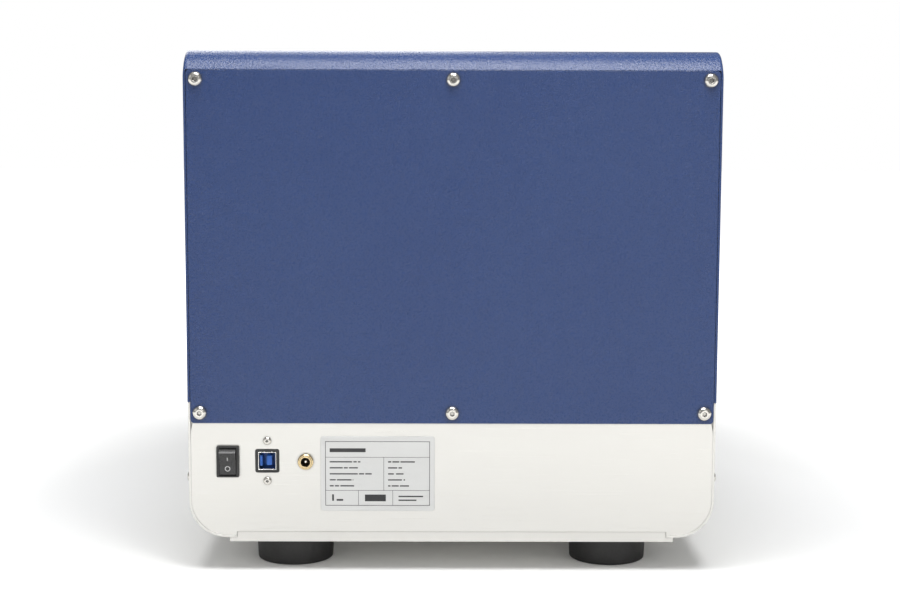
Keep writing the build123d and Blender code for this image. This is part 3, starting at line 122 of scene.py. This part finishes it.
def blend_colour(tree, factor, first, second):
    """Mix two colours, each a value or a socket."""
    colours = {key: value if isinstance(value, bpy.types.NodeSocket) else (*value, 1.0)
               for key, value in (("i6", first), ("i7", second))}
    return put(tree, "Mix", {"data_type": "RGBA"}, i0=factor, **colours).outputs[2]


# %% [markdown]
# ## Bumps, edges and hollows
# Real surfaces are never quite flat and never quite sharp. A bump tilts the light by the slope of a
# pattern. Blender can also round the look of an edge, and where that rounding bends the surface
# most, the piece is worn. The opposite mask finds corners and recesses, where shade is painted.

# %% Bump, edge and corner helpers
def relief(tree, height, depth, under=None, strength=1.0):
    """Bump: height 0 to 1 stands for a depth in metres. Another normal may lie under it."""
    bump = put(tree, "Bump", Strength=strength, Distance=depth, Height=height)
    if under is not None:
        tree.links.new(under, bump.inputs["Normal"])
    return bump.outputs[0]


def soft_edge(tree, radius):
    """Normal of edges rounded by a radius, and a mask that is 1 along those edges."""
    rounded = put(tree, "Bevel", {"samples": 4}, Radius=radius).outputs[0]
    flat = put(tree, "NewGeometry").outputs["Normal"]
    match = put(tree, "VectorMath", {"operation": "DOT_PRODUCT"}, i0=rounded, i1=flat)
    return rounded, remap(tree, match.outputs["Value"], 0.99, 0.80)


def shade_in_recesses(tree, reach):
    """1 in corners and recesses that light hardly enters, 0 on open faces: where shade is painted.
    """
    open_part = put(tree, "AmbientOcclusion", {"samples": 6}, Distance=reach).outputs["AO"]
    return remap(tree, open_part, 0.9, 0.35)


# %% [markdown]
# ## Putting a finish on
# A CAD solid keeps its mesh as it is, so a finish goes into its own material slots.

# %% Dressing
def dress(finish_of, *names):
    """Give solids a finish through their own material slots."""
    for name in names:
        piece = nodes[name]
        if not piece.material_slots:
            piece.data.materials.append(finish_of)
        for slot in piece.material_slots:
            slot.material = finish_of
    print(finish_of.name, "on", ", ".join(names))


# %% [markdown]
# ## Blue powder coat
# The cover is sprayed with dry powder and baked. The skin melts into a fine orange peel with a
# satin shine, so it looks smooth when the light is broad and sparkles where a lamp grazes it, as
# along the rolled top edge. Two sizes of noise make the peel under a thin clear gloss, a faint slow
# noise shifts the colour, and the edges, where powder lies thinner, turn a little paler.

# %% Powder coat recipe
PEEL, GRAIN = 620.0, 1500.0                # bumps per metre: orange peel, and the powder itself
PEEL_DEPTH, GRAIN_DEPTH, GLOSS_DEPTH = 0.0009, 0.00035, 0.0005
CORNER_SHADE = (0.010, 0.014, 0.030)


def powder_coat(name, colour, shade):
    """Satin powder coat: two scales of peel under a clear gloss, slow tone shift, pale edges,
    painted shade in corners.
    """
    material, tree, shader = finish(name, roughness=0.34, specular=0.30)
    shader.inputs["Coat Weight"].default_value = 0.6
    shader.inputs["Coat Roughness"].default_value = 0.14
    vector = place(tree)
    slow = noise(tree, vector, 7.0, detail=3.0)
    grain = noise(tree, vector, GRAIN, rough=0.6)
    peel = noise(tree, vector, PEEL, detail=3.0, rough=0.65)
    rounded, edge = soft_edge(tree, radius=0.0007)
    pale, worn = [c * 1.8 for c in colour], [c * 1.7 + 0.01 for c in colour]
    tone = blend_colour(tree, remap(tree, slow, 0.35, 0.65), colour, shade)
    tone = blend_colour(tree, remap(tree, grain, 0.52, 0.80, 0.0, 0.20), tone, pale)
    tone = blend_colour(tree, join(tree, "MULTIPLY", edge, 0.30), tone, worn)
    # Painted shade: corners and recesses are darkened towards CORNER_SHADE, by three quarters at
    # most.
    corners = join(tree, "MULTIPLY", shade_in_recesses(tree, reach=0.0025), 0.75)
    low = relief(tree, peel, PEEL_DEPTH, rounded, 0.9)
    wire(shader, Base_Color=blend_colour(tree, corners, tone, CORNER_SHADE),
         Roughness=remap(tree, peel, 0.3, 0.7, 0.20, 0.40),
         Normal=relief(tree, grain, GRAIN_DEPTH, low, 0.9),
         Coat_Normal=relief(tree, peel, GLOSS_DEPTH, rounded, 0.8))
    return material


# %% Coat the cover
blue = powder_coat("blue_powder_coat", (0.016, 0.050, 0.184), (0.019, 0.055, 0.192))
dress(blue, "top_cover", "rear_cover_panel")

# %% [markdown]
# ## Brushed metal
# The base is aluminium sheet, brushed and clear anodised. The brush leaves many fine lines: a noise
# that changes fast across the lines and slowly along them. The same recipe, with wider lines and
# another tone, serves milled aluminium, ground steel, plating and brass.

# %% Brushed metal recipe
ALONG_BRUSH = 14.0                         # blotches per metre along the lines


def stretched(axis, across, along):
    """Scale of a pattern that is squeezed on one axis, named by its letter."""
    scale = [along] * 3
    scale["XYZ".index(axis)] = across
    return scale


def brushed(name, colour, roughness, across="Z", line=5200.0, depth=0.000012, spread=0.06,
            worn=0.30, recess_shade=0.6):
    """Metal with parallel brush lines. across names the axis that the lines cross."""
    material, tree, shader = finish(name, roughness, metallic=1.0)
    squeezed = place(tree, stretched(across, line, ALONG_BRUSH))
    lines = noise(tree, squeezed, 1.0, detail=3.0, rough=0.65)
    cloud = noise(tree, place(tree), 11.0, detail=3.0)
    rounded, edge = soft_edge(tree, radius=0.0005)
    bright = [min(1.0, c * 1.12) for c in colour]
    groove, dull, dark = ([c * part for c in colour] for part in (0.955, 0.97, 0.16))
    tone = blend_colour(tree, remap(tree, lines, 0.3, 0.7), groove, colour)
    tone = blend_colour(tree, remap(tree, cloud, 0.35, 0.65, 0.0, 0.5), tone, dull)
    tone = blend_colour(tree, join(tree, "MULTIPLY", edge, worn), tone, bright)
    # Painted shade: corners and recesses are blended towards dark, a near-black copy of the colour.
    corners = join(tree, "MULTIPLY", shade_in_recesses(tree, reach=0.0018), recess_shade)
    wire(shader, Base_Color=blend_colour(tree, corners, tone, dark),
         Roughness=remap(tree, lines, 0.3, 0.7, roughness - spread, roughness + spread),
         Normal=relief(tree, lines, depth, rounded, 0.5))
    return material


# %% [markdown]
# ## The silver base
# On the upright walls the brush lines lie level, so the pattern is squeezed along Z. On the bottom
# plate they run along X, so it is squeezed along Y.

# %% Silver sheet
silver_tone = (0.70, 0.688, 0.655)
silver_wall = brushed("silver_sheet_wall", silver_tone, 0.33)
dress(silver_wall, "base_side_left", "base_side_right", "base_rear_panel", "front_fascia",
      "drawer_front")
dress(brushed("silver_sheet_plate", silver_tone, 0.38, across="Y"), "base_plate")

# %% [markdown]
# ## Metal inside and around the sockets
# Milled aluminium shows wide tool lines, ground rails a fine even sheen. Screws are nickel plated
# and bright, with a recess that goes dark: the painted shade in their recesses is set high.

# %% Machined pieces
milled = brushed("machined_aluminium", (0.74, 0.74, 0.75), 0.32, "X", 700.0, 0.00003)
dress(milled, "clamp_bars", "riser_bars", "screw_mounts", "gantry_frames", "plate_clamp",
      "bridge_beam", "optics_carriage", "focus_plate", "led_module")
ground = brushed("ground_steel", (0.56, 0.56, 0.57), 0.22, "X", 2400.0, 0.00001)
dress(ground, "guide_rails", "rail_blocks", "bridge_blocks", "cross_rail", "cross_block",
      "clamp_spring")
bright_steel = brushed("bright_steel", (0.62, 0.60, 0.56), 0.20, "Z", 900.0, 0.00001, recess_shade=0.95)
dress(bright_steel, "foot_screws", "cover_screws", "clinch_nuts", "side_screws", "usb_screws",
      "clamp_pin")

# %% Plated and yellow pieces
plated = brushed("plated_shell", (0.80, 0.80, 0.78), 0.16, "Z", 900.0, 0.000008)
dress(plated, "usb_shell", "dc_jack_pin")
yellow_brass = brushed("brass", (0.66, 0.52, 0.30), 0.22, "Z", 1300.0)
dress(yellow_brass, "dc_jack_body", "dc_jack_nut", "drawer_nut", "bridge_nut", "board_standoffs")
dress(brushed("chrome", (0.76, 0.76, 0.77), 0.12, "Z", 700.0, 0.000006), "objective")
label_film = brushed("label_film", (0.65, 0.65, 0.64), 0.40, "Z", 300.0, 0.000004, worn=0.1)
dress(label_film, "rating_label")

# %% [markdown]
# ## Rubber and plastics
# Moulded parts take the texture of their mould: rubber is dull with dusty patches, the switch and
# socket plastics have a fine spark-eroded grain. One recipe with different grain and gloss serves
# them all.

# %% Moulded recipe
def moulded(name, colour, pale, roughness, grain=1400.0, depth=0.00004, dust=0.5, rim=0.4):
    """Moulded surface: fine grain bump, dusty patches of a paler tone, worn rims."""
    material, tree, shader = finish(name, roughness)
    vector = place(tree)
    fine = noise(tree, vector, grain, detail=3.0, rough=0.6)
    patches = noise(tree, vector, 26.0, detail=4.0, rough=0.6)
    rounded, edge = soft_edge(tree, radius=0.0004)
    tone = blend_colour(tree, remap(tree, patches, 0.42, 0.72, 0.0, dust), colour, pale)
    wire(shader, Base_Color=blend_colour(tree, join(tree, "MULTIPLY", edge, rim), tone, pale),
         Roughness=remap(tree, fine, 0.3, 0.7, roughness - 0.07, roughness + 0.07),
         Normal=relief(tree, fine, depth, rounded, 0.5))
    return material


# %% Black rubber and plastics
rubber = moulded("black_rubber", (0.020, 0.019, 0.019), (0.040, 0.039, 0.038), 0.62, 900.0)
dress(rubber, "rubber_feet")
foam = moulded("foam_rubber", (0.018, 0.018, 0.018), (0.050, 0.050, 0.050), 0.85, 1800.0, 0.0002)
dress(foam, "drawer_light_seal")
black_plastic = moulded("black_plastic", (0.030, 0.030, 0.030), (0.060, 0.060, 0.060), 0.46)
dress(black_plastic, "switch_housing", "usb_frame", "dc_jack_insulator", "board_components")
gloss = moulded("black_gloss_plastic", (0.034, 0.034, 0.034), (0.055, 0.055, 0.055), 0.30, 900.0,
                0.00001)
dress(gloss, "switch_rocker")
dress(moulded("lead_jacket", (0.03, 0.03, 0.03), (0.06, 0.06, 0.06), 0.45), "internal_leads")

# %% Coloured plastics, boards and paint
blue_plastic = moulded("blue_plastic", (0.02, 0.13, 0.55), (0.05, 0.22, 0.66), 0.33, 900.0, 0.00001)
dress(blue_plastic, "usb_insert")
anodised = moulded("black_anodised", (0.030, 0.030, 0.033), (0.07, 0.07, 0.075), 0.40, 2600.0,
                   0.00002)
dress(anodised, "lamp_housing", "plate_tray", "filter_cube", "tube_lens")
dress(moulded("white_diffuser", (0.82, 0.82, 0.82), (0.88, 0.88, 0.88), 0.48), "lamp_diffuser")
dress(moulded("camera_paint", (0.045, 0.045, 0.050), (0.09, 0.09, 0.095), 0.42, 1100.0), "camera")
dress(moulded("board_laminate", (0.012, 0.12, 0.05), (0.03, 0.20, 0.09), 0.36), "circuit_boards")

# %% [markdown]
# ## Motors: black laminations between silver caps
# A stepper motor is a stack of thin blackened steel plates between two cast aluminium caps. The
# solid is one block, so the caps are bands of the finish: the coordinate along the shaft is compared
# with the ends of each motor, and a noise squeezed along the shaft draws the stack's thin lines.

# %% Motor recipe
CAP = 0.006                                # thickness of a motor's end cap


def end_caps(tree, along_shaft, ends):
    """1 where the place along the shaft is within a cap's thickness of either end, else 0."""
    caps = 0.0
    for low, high in ends:
        for middle in (low + CAP / 2, high - CAP / 2):
            band = put(tree, "Math", {"operation": "COMPARE"}, i0=along_shaft, i1=middle, i2=CAP / 2)
            caps = join(tree, "MAXIMUM", caps, band.outputs[0])
    return caps


def motor_finish(name, axis, *ends):
    """Dark stack with light caps. ends are the first and last place of each motor on its axis."""
    material, tree, shader = finish(name, roughness=0.36, metallic=1.0)
    along_shaft = put(tree, "SeparateXYZ", Vector=place(tree)).outputs["XYZ".index(axis)]
    plates = noise(tree, place(tree, stretched(axis, 1900.0, 30.0)), 1.0)
    stack = remap(tree, plates, 0.35, 0.65)
    dark = blend_colour(tree, stack, (0.030, 0.030, 0.032), (0.085, 0.085, 0.088))
    cast = noise(tree, place(tree), 700.0)
    light = blend_colour(tree, cast, (0.50, 0.50, 0.51), (0.66, 0.66, 0.67))
    wire(shader, Base_Color=blend_colour(tree, end_caps(tree, along_shaft, ends), dark, light),
         Roughness=remap(tree, plates, 0.3, 0.7, 0.30, 0.46),
         Normal=relief(tree, plates, 0.00004, soft_edge(tree, radius=0.0006)[0]))
    return material


# %% Motors
DRAWER_MOTOR, BRIDGE_MOTOR = (0.137, 0.171), (0.087, 0.121)      # ends along Y
dress(motor_finish("motor_steel", "Y", DRAWER_MOTOR, BRIDGE_MOTOR), "stepper_motors")
(cross_low, _, _), (cross_high, _, _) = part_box("cross_motor")
cross_flange = 0.002                       # a raised ring in front of the cap
cross_steel = motor_finish("cross_motor_steel", "X", (cross_low + cross_flange, cross_high))
dress(cross_steel, "cross_motor")
(_, _, focus_low), (_, _, focus_high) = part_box("focus_motor")
dress(motor_finish("focus_motor_steel", "Z", (focus_low, focus_high)), "focus_motor")

# %% [markdown]
# ## Surfaces from numpy
# New shapes are grids of points: each is a formula of two numbers, worked out for the whole grid at
# once. One helper joins neighbours into faces and can close the grid round. Another welds points
# that fall together, so that seams and poles are shut, and turns the faces outwards.

# %% Surface helpers
WELD = 1e-7                                # points closer than this become one


def mesh_object(name, points, faces):
    """Object at the origin with a mesh of these points and faces, linked to the scene."""
    mesh = bpy.data.meshes.new(name)
    mesh.from_pydata(points.reshape(-1, 3).tolist(), [], faces.reshape(-1, 4).tolist())
    mesh.update()
    made = bpy.data.objects.new(name, mesh)
    bpy.context.scene.collection.objects.link(made)
    return made


def grid_object(name, points, around=False):
    """Object from a grid of points (rows, columns, 3): each four neighbours make one face."""
    rows, columns = points.shape[:2]
    index = np.arange(rows * columns).reshape(rows, columns)
    if around:
        index = np.concatenate([index, index[:, :1]], 1)
    corners = [index[:-1, :-1], index[:-1, 1:], index[1:, 1:], index[1:, :-1]]
    return mesh_object(name, points, np.stack(corners, -1))


def tube(name, points, body, material):
    """Closed piece from a grid whose last column meets the first, welded, faces outwards."""
    made = grid_object(name, points, around=True)
    work = bmesh.new()
    work.from_mesh(made.data)
    bmesh.ops.remove_doubles(work, verts=work.verts, dist=WELD)
    bmesh.ops.recalc_face_normals(work, faces=work.faces)
    work.to_mesh(made.data)
    work.free()
    made.data.materials.append(material)
    made.data.shade_smooth()
    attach(made, body)
    print(name, len(made.data.polygons), "faces on", body)
    return made


# %% [markdown]
# ## Lead screws
# CAD keeps a lead screw as a plain rod. The real one is rolled with several threads side by side, so
# the nut travels far in one turn. The surface runs in height and angle: its radius is the rod's
# radius less a rounded groove, and the groove's phase is height over lead minus angle over a turn.

# %% Threaded rod recipe
GROOVE = 0.0007                            # depth of the thread
BARE_END = 0.014                           # plain journal at each end
RUN_OUT = 0.002                            # length in which the thread fades
ROW_STEP, FACETS = 0.00042, 32


def thread_radius(height, angle, length, radius, lead, starts, hand):
    """Radius = rod radius - groove depth * (1 - clipped cosine of the phase) * fade at the ends."""
    phase = starts * (height / lead - hand * angle / (2 * np.pi))
    tooth = np.clip(0.5 + 1.3 * np.cos(2 * np.pi * phase), 0.0, 1.0)
    to_end = np.minimum(height - BARE_END, length - BARE_END - height)
    return radius - GROOVE * (1.0 - tooth) * np.clip(to_end / RUN_OUT, 0.0, 1.0)


def lead_screw(name, node, body, axis, lead, starts=4, hand=1):
    """Rod along an axis: centre + radius * cos and sin of the angle, with a pole at each end."""
    low, high = (np.array(corner, float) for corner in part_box(node))
    length, radius = high[axis] - low[axis], (high[axis - 1] - low[axis - 1]) / 2
    height = np.linspace(0.0, length, int(length / ROW_STEP))[:, None]
    angle = np.linspace(0.0, 2 * np.pi, FACETS, endpoint=False)[None, :]
    reach = thread_radius(height, angle, length, radius, lead, starts, hand)
    pole = np.zeros((1, FACETS))
    reach = np.concatenate([pole, reach, pole])
    points = np.empty(reach.shape + (3,))
    points[..., axis] = low[axis] + np.concatenate([height[:1], height, height[-1:]])
    for turn, wave in ((axis - 2, np.cos(angle)), (axis - 1, np.sin(angle))):
        points[..., turn] = (low[turn] + high[turn]) / 2 + reach * wave
    made = tube(name, points, body, ground)
    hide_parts(node)


# %% The three lead screws
ALONG_X, ALONG_Y = 0, 1
lead_screw("drawer_screw_thread", "drawer_screw", "drawer_screw", ALONG_Y, 0.010)
lead_screw("bridge_screw_thread", "bridge_screw", "bridge_screw", ALONG_Y, 0.005, starts=2, hand=-1)
lead_screw("cross_screw_thread", "cross_screw", "cross_screw", ALONG_X, 0.005, starts=2, hand=-1)

# %% [markdown]
# ## Marks on the switch
# The rocker carries the two usual marks, a bar for on and a ring for off, printed in white. Both lie
# on the rocker's faces, so a ray finds the face and its slope, and the mark is laid out in that
# plane: a low bead with an elliptic section, half sunk, carried along a line or a circle.

# %% Bead on the rocker
MARK_WIDTH, MARK_RISE = 0.0006, 0.00006
white_print = moulded("white_print", (0.80, 0.80, 0.79), (0.88, 0.88, 0.88), 0.45, 900.0, 0.000005,
                      rim=0.0)


def rocker_face(x, z):
    """Where a ray from behind meets the rocker: point, normal, level step (-X) and upward step."""
    found, point, normal, _ = nodes["switch_rocker"].ray_cast((x, 0.30, z), (0, -1, 0))
    print("rocker face", found, "at", [round(v, 4) for v in point])
    normal, level = np.array(normal), np.array([-1.0, 0.0, 0.0])
    return np.array(point), normal, level, np.cross(normal, level)


def bead(name, path, outward, point, normal):
    """Elliptic bead: path + width / 2 * cos * outward + rise * sin * normal, from one point."""
    turn = np.linspace(0.0, 2 * np.pi, 16, endpoint=False)[None, :, None]
    across = path[:, None, :] + MARK_WIDTH / 2 * np.cos(turn) * outward[:, None, :]
    points = point + across + MARK_RISE * np.sin(turn) * normal
    return tube(name, points, "rocker", white_print)


# %% Bar and ring
def bar_mark(name, x, z, length):
    """Straight bead. Its width times the root of 1 - step ** 8 pinches both ends shut."""
    point, normal, level, up = rocker_face(x, z)
    step = np.linspace(-1.0, 1.0, 21)[:, None]
    pinch = np.sqrt(np.clip(1.0 - step ** 8, 0.0, 1.0))
    return bead(name, step * up * length / 2, level * pinch, point, normal)


def ring_mark(name, x, z, diameter):
    """Bead round a circle: spokes of cos * level + sin * up, the last one on the first."""
    point, normal, level, up = rocker_face(x, z)
    turn = np.linspace(0.0, 2 * np.pi, 49)[:, None]
    spoke = np.cos(turn) * level + np.sin(turn) * up
    return bead(name, spoke * (diameter - MARK_WIDTH) / 2, spoke, point, normal)


SWITCH_Z = 0.0749
switch_low, switch_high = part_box("switch_rocker")
switch_x = (switch_low[0] + switch_high[0]) / 2
bar_mark("switch_on_mark", switch_x, SWITCH_Z + 0.0022, length=0.0028)
ring_mark("switch_off_mark", switch_x, SWITCH_Z - 0.0046, diameter=0.0037)

# %% [markdown]
# ## Print on the rating label
# The plate beside the inlet is kept generic, with ruled boxes and short bars. Its layout is a table
# of rectangles: left, bottom, width and height in mm from the label's centre, seen from the rear.
# The short bars of each row are cut at random places from a fixed seed, so they never change.

# %% Label layout
FRAME, RULE, DASH = 0.35, 0.25, 0.85       # thickness of frame, inner lines and short bars, in mm
TOP_ROW, ROW_PITCH, DASH_GAP, SHORTEST = 7.6, 4.1, 0.8, 0.3
ruled = [(-35, 21.6, 70, FRAME), (-35, -21.9, 70, FRAME), (-35, -21.9, FRAME, 43.8),
         (34.65, -21.9, FRAME, 43.8), (-35, 11.0, 70, RULE), (-35, -11.6, 70, RULE),
         (4.0, -11.6, RULE, 22.6), (-13.0, -21.9, RULE, 10.3), (10.0, -21.9, RULE, 10.3)]
blocks = [(-30.5, -18.6, 1.2, 4.4), (-27.5, -18.6, 4.4, 1.2), (-8.5, -18.9, 14.0, 4.6),
          (14.0, -16.0, 16.5, 0.9), (14.0, -18.6, 12.0, 0.9)]
dashes = [(-32, 14.6, 24.0, 2.6)]
chance = np.random.default_rng(7)
for row in range(5):
    for start, width in ((-32.0, 33.0), (7.0, 25.0)):
        cuts = np.sort(chance.uniform(0.12, 0.88, 3)) * width * chance.uniform(0.75, 1.0)
        edges = np.concatenate([[0.0], cuts])
        dashes += [(start + a, TOP_ROW - ROW_PITCH * row, b - a - DASH_GAP, DASH)
                   for a, b in zip(edges[:-1], edges[1:])]
layout = ruled + [bar for bar in dashes + blocks if bar[2] > SHORTEST]
print("label layout:", len(layout), "rectangles")

# %% [markdown]
# Each rectangle is a thin sheet of ink. All of them are one mesh of separate faces, a few hundredths
# of a millimetre above the film, and one table of corners gives them all.

# %% Label print
INK_LIFT = 0.00003
ink = moulded("label_ink", (0.028, 0.028, 0.030), (0.06, 0.06, 0.06), 0.42, 500.0, 0.000003, rim=0.0)
label_low, label_high = (np.array(corner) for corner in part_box("rating_label"))
centre = (label_low + label_high) / 2


def sheet_corners(rows):
    """Corners of rectangles: x = centre - across, z = centre + rise, y just above the film."""
    left, bottom, width, height = np.array(rows, float).T / 1000.0
    across = np.stack([left, left + width, left + width, left], -1)
    rise = np.stack([bottom, bottom, bottom + height, bottom + height], -1)
    return np.stack([centre[0] - across, np.full_like(across, label_high[1] + INK_LIFT),
                     centre[2] + rise], -1)


label_print = mesh_object("label_print", sheet_corners(layout), np.arange(4 * len(layout)))
label_print.data.materials.append(ink)
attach(label_print, "case")
print("label print:", len(label_print.data.polygons), "sheets, facing",
      tuple(label_print.data.polygons[0].normal))

# %% [markdown]
# ## Bench
# The photograph is a cut-out on white with a short soft shadow. The floor is a pale sheet; only what
# the camera and shiny surfaces see of it is lifted to white, more and more with the distance from
# the instrument, so the lamps stay plain and the shadow under the feet is kept.

# %% Who looks
def seen_by(tree, *kinds):
    """1 for rays of the named kinds, else 0: the largest of the light path's flags."""
    path = put(tree, "LightPath")
    answer = 0.0
    for kind in kinds:
        answer = join(tree, "MAXIMUM", answer, path.outputs[f"Is {kind} Ray"])
    return answer


# %% Floor
FLOOR_REACH, FLOOR_GAP = 6.0, 0.0002
steps = np.linspace(-FLOOR_REACH, FLOOR_REACH, 25)
across, along = np.meshgrid(steps, steps)
floor = grid_object("bench_top", np.stack([across, along, np.full_like(across, -FLOOR_GAP)], -1))
floor_finish, tree, shader = finish("bench_white", roughness=0.75, specular=0.2)
weave = noise(tree, place(tree), 240.0, detail=3.0)
wire(shader, Base_Color=blend_colour(tree, weave, (0.78, 0.78, 0.77), (0.82, 0.82, 0.81)),
     Normal=relief(tree, weave, depth=0.00008))
floor.data.materials.append(floor_finish)
print("floor:", len(floor.data.vertices), "points")

# %% Floor lifted to white
seen = seen_by(tree, "Camera", "Glossy", "Transmission")
distance = put(tree, "VectorMath", {"operation": "LENGTH"}, i0=place(tree)).outputs["Value"]
glow = join(tree, "MULTIPLY", remap(tree, distance, 0.32, 0.95, 0.0, 0.8), seen)
lift = put(tree, "Emission", Color=(1.0, 1.0, 0.99, 1.0), Strength=join(tree, "ADD", glow, 0.04))
white_sheet = put(tree, "BsdfDiffuse", Color=(0.97, 0.97, 0.96, 1.0))
white_floor = put(tree, "AddShader", i0=white_sheet.outputs[0], i1=lift.outputs[0])
both = put(tree, "MixShader", i0=seen, i1=shader.outputs[0], i2=white_floor.outputs[0])
tree.links.new(both.outputs[0], tree.nodes["Material Output"].inputs["Surface"])
print("floor white from 0.95 m out")

# %% [markdown]
# ## World
# The world is a dim even white that fills the shadows. The camera, and what it sees through clear
# pieces, gets a full white behind the instrument instead. That changes no light on the object.

# %% World
world = bpy.data.worlds.new("studio")
bpy.context.scene.world = world
world.use_nodes = True
tree = world.node_tree
tree.nodes.clear()
plain = put(tree, "Background", Color=(0.98, 0.99, 1.0, 1.0), Strength=0.32)
white = put(tree, "Background", Color=(1.0, 1.0, 1.0, 1.0), Strength=1.0)
both = put(tree, "MixShader", i0=seen_by(tree, "Camera", "Transmission"), i1=plain.outputs[0],
           i2=white.outputs[0])
put(tree, "OutputWorld", Surface=both.outputs[0])
print("world:", len(tree.nodes), "nodes")

# %% [markdown]
# ## Lamps
# A large soft box above draws the bright band along the rolled top edge, and a small lamp beside it
# gives the coat its sparkle. Three more boxes light the rear, one side and the front evenly.

# %% Lamps
def lamp(name, position, target, size, power):
    """Rectangular soft lamp that looks at a target point."""
    light = bpy.data.lights.new(name, "AREA")
    light.shape = "RECTANGLE"
    light.size, light.size_y = size
    light.energy = power
    made = bpy.data.objects.new(name, light)
    bpy.context.scene.collection.objects.link(made)
    made.location = position
    towards = np.array(target, float) - np.array(position, float)
    tilt = math.atan2(math.hypot(towards[0], towards[1]), -towards[2])
    made.rotation_euler = Euler((tilt, 0, math.atan2(-towards[0], towards[1])))


lamp("top_softbox", (0.0, 0.45, 1.50), (0.0, 0.25, 0.1), (1.0, 0.6), 18.0)
lamp("glint_lamp", (-0.25, 0.75, 1.20), (-0.05, 0.2, 0.30), (0.22, 0.16), 2.4)
lamp("rear_softbox", (-0.9, 1.9, 0.95), (0.0, 0.45, 0.0), (1.1, 0.9), 3.4)
lamp("side_softbox", (1.6, 0.9, 1.0), (0.0, 0.1, 0.15), (1.0, 1.0), 1.8)
lamp("front_softbox", (0.5, -1.9, 1.2), (0.0, -0.2, 0.15), (1.3, 1.1), 10.0)

# %% [markdown]
# ## Camera
# The rear wall is photographed nearly straight on from 1.1 metres. Place, turn and pitch were worked
# out from the case's edges. The blue cover's edges then meet the photograph's to about a pixel.

# %% Camera
camera_data = bpy.data.cameras.new("rear_view")
camera_data.lens = 68.0
camera_data.sensor_width = 36.0
camera_data.sensor_fit = "HORIZONTAL"
camera = bpy.data.objects.new("rear_view", camera_data)
bpy.context.scene.collection.objects.link(camera)
CAMERA_PLACE = (0.0096, 1.3150, 0.3179)
yaw, pitch, roll = math.radians(179.596), math.radians(90 - 6.828), math.radians(0.195)
aim = (Matrix.Rotation(yaw, 4, "Z") @ Matrix.Rotation(pitch, 4, "X")
       @ Matrix.Rotation(roll, 4, "Z"))
camera.matrix_world = Matrix.Translation(CAMERA_PLACE) @ aim
bpy.context.scene.camera = camera
bpy.context.scene.view_settings.view_transform = "Standard"
print("camera at", tuple(round(v, 4) for v in camera.location))
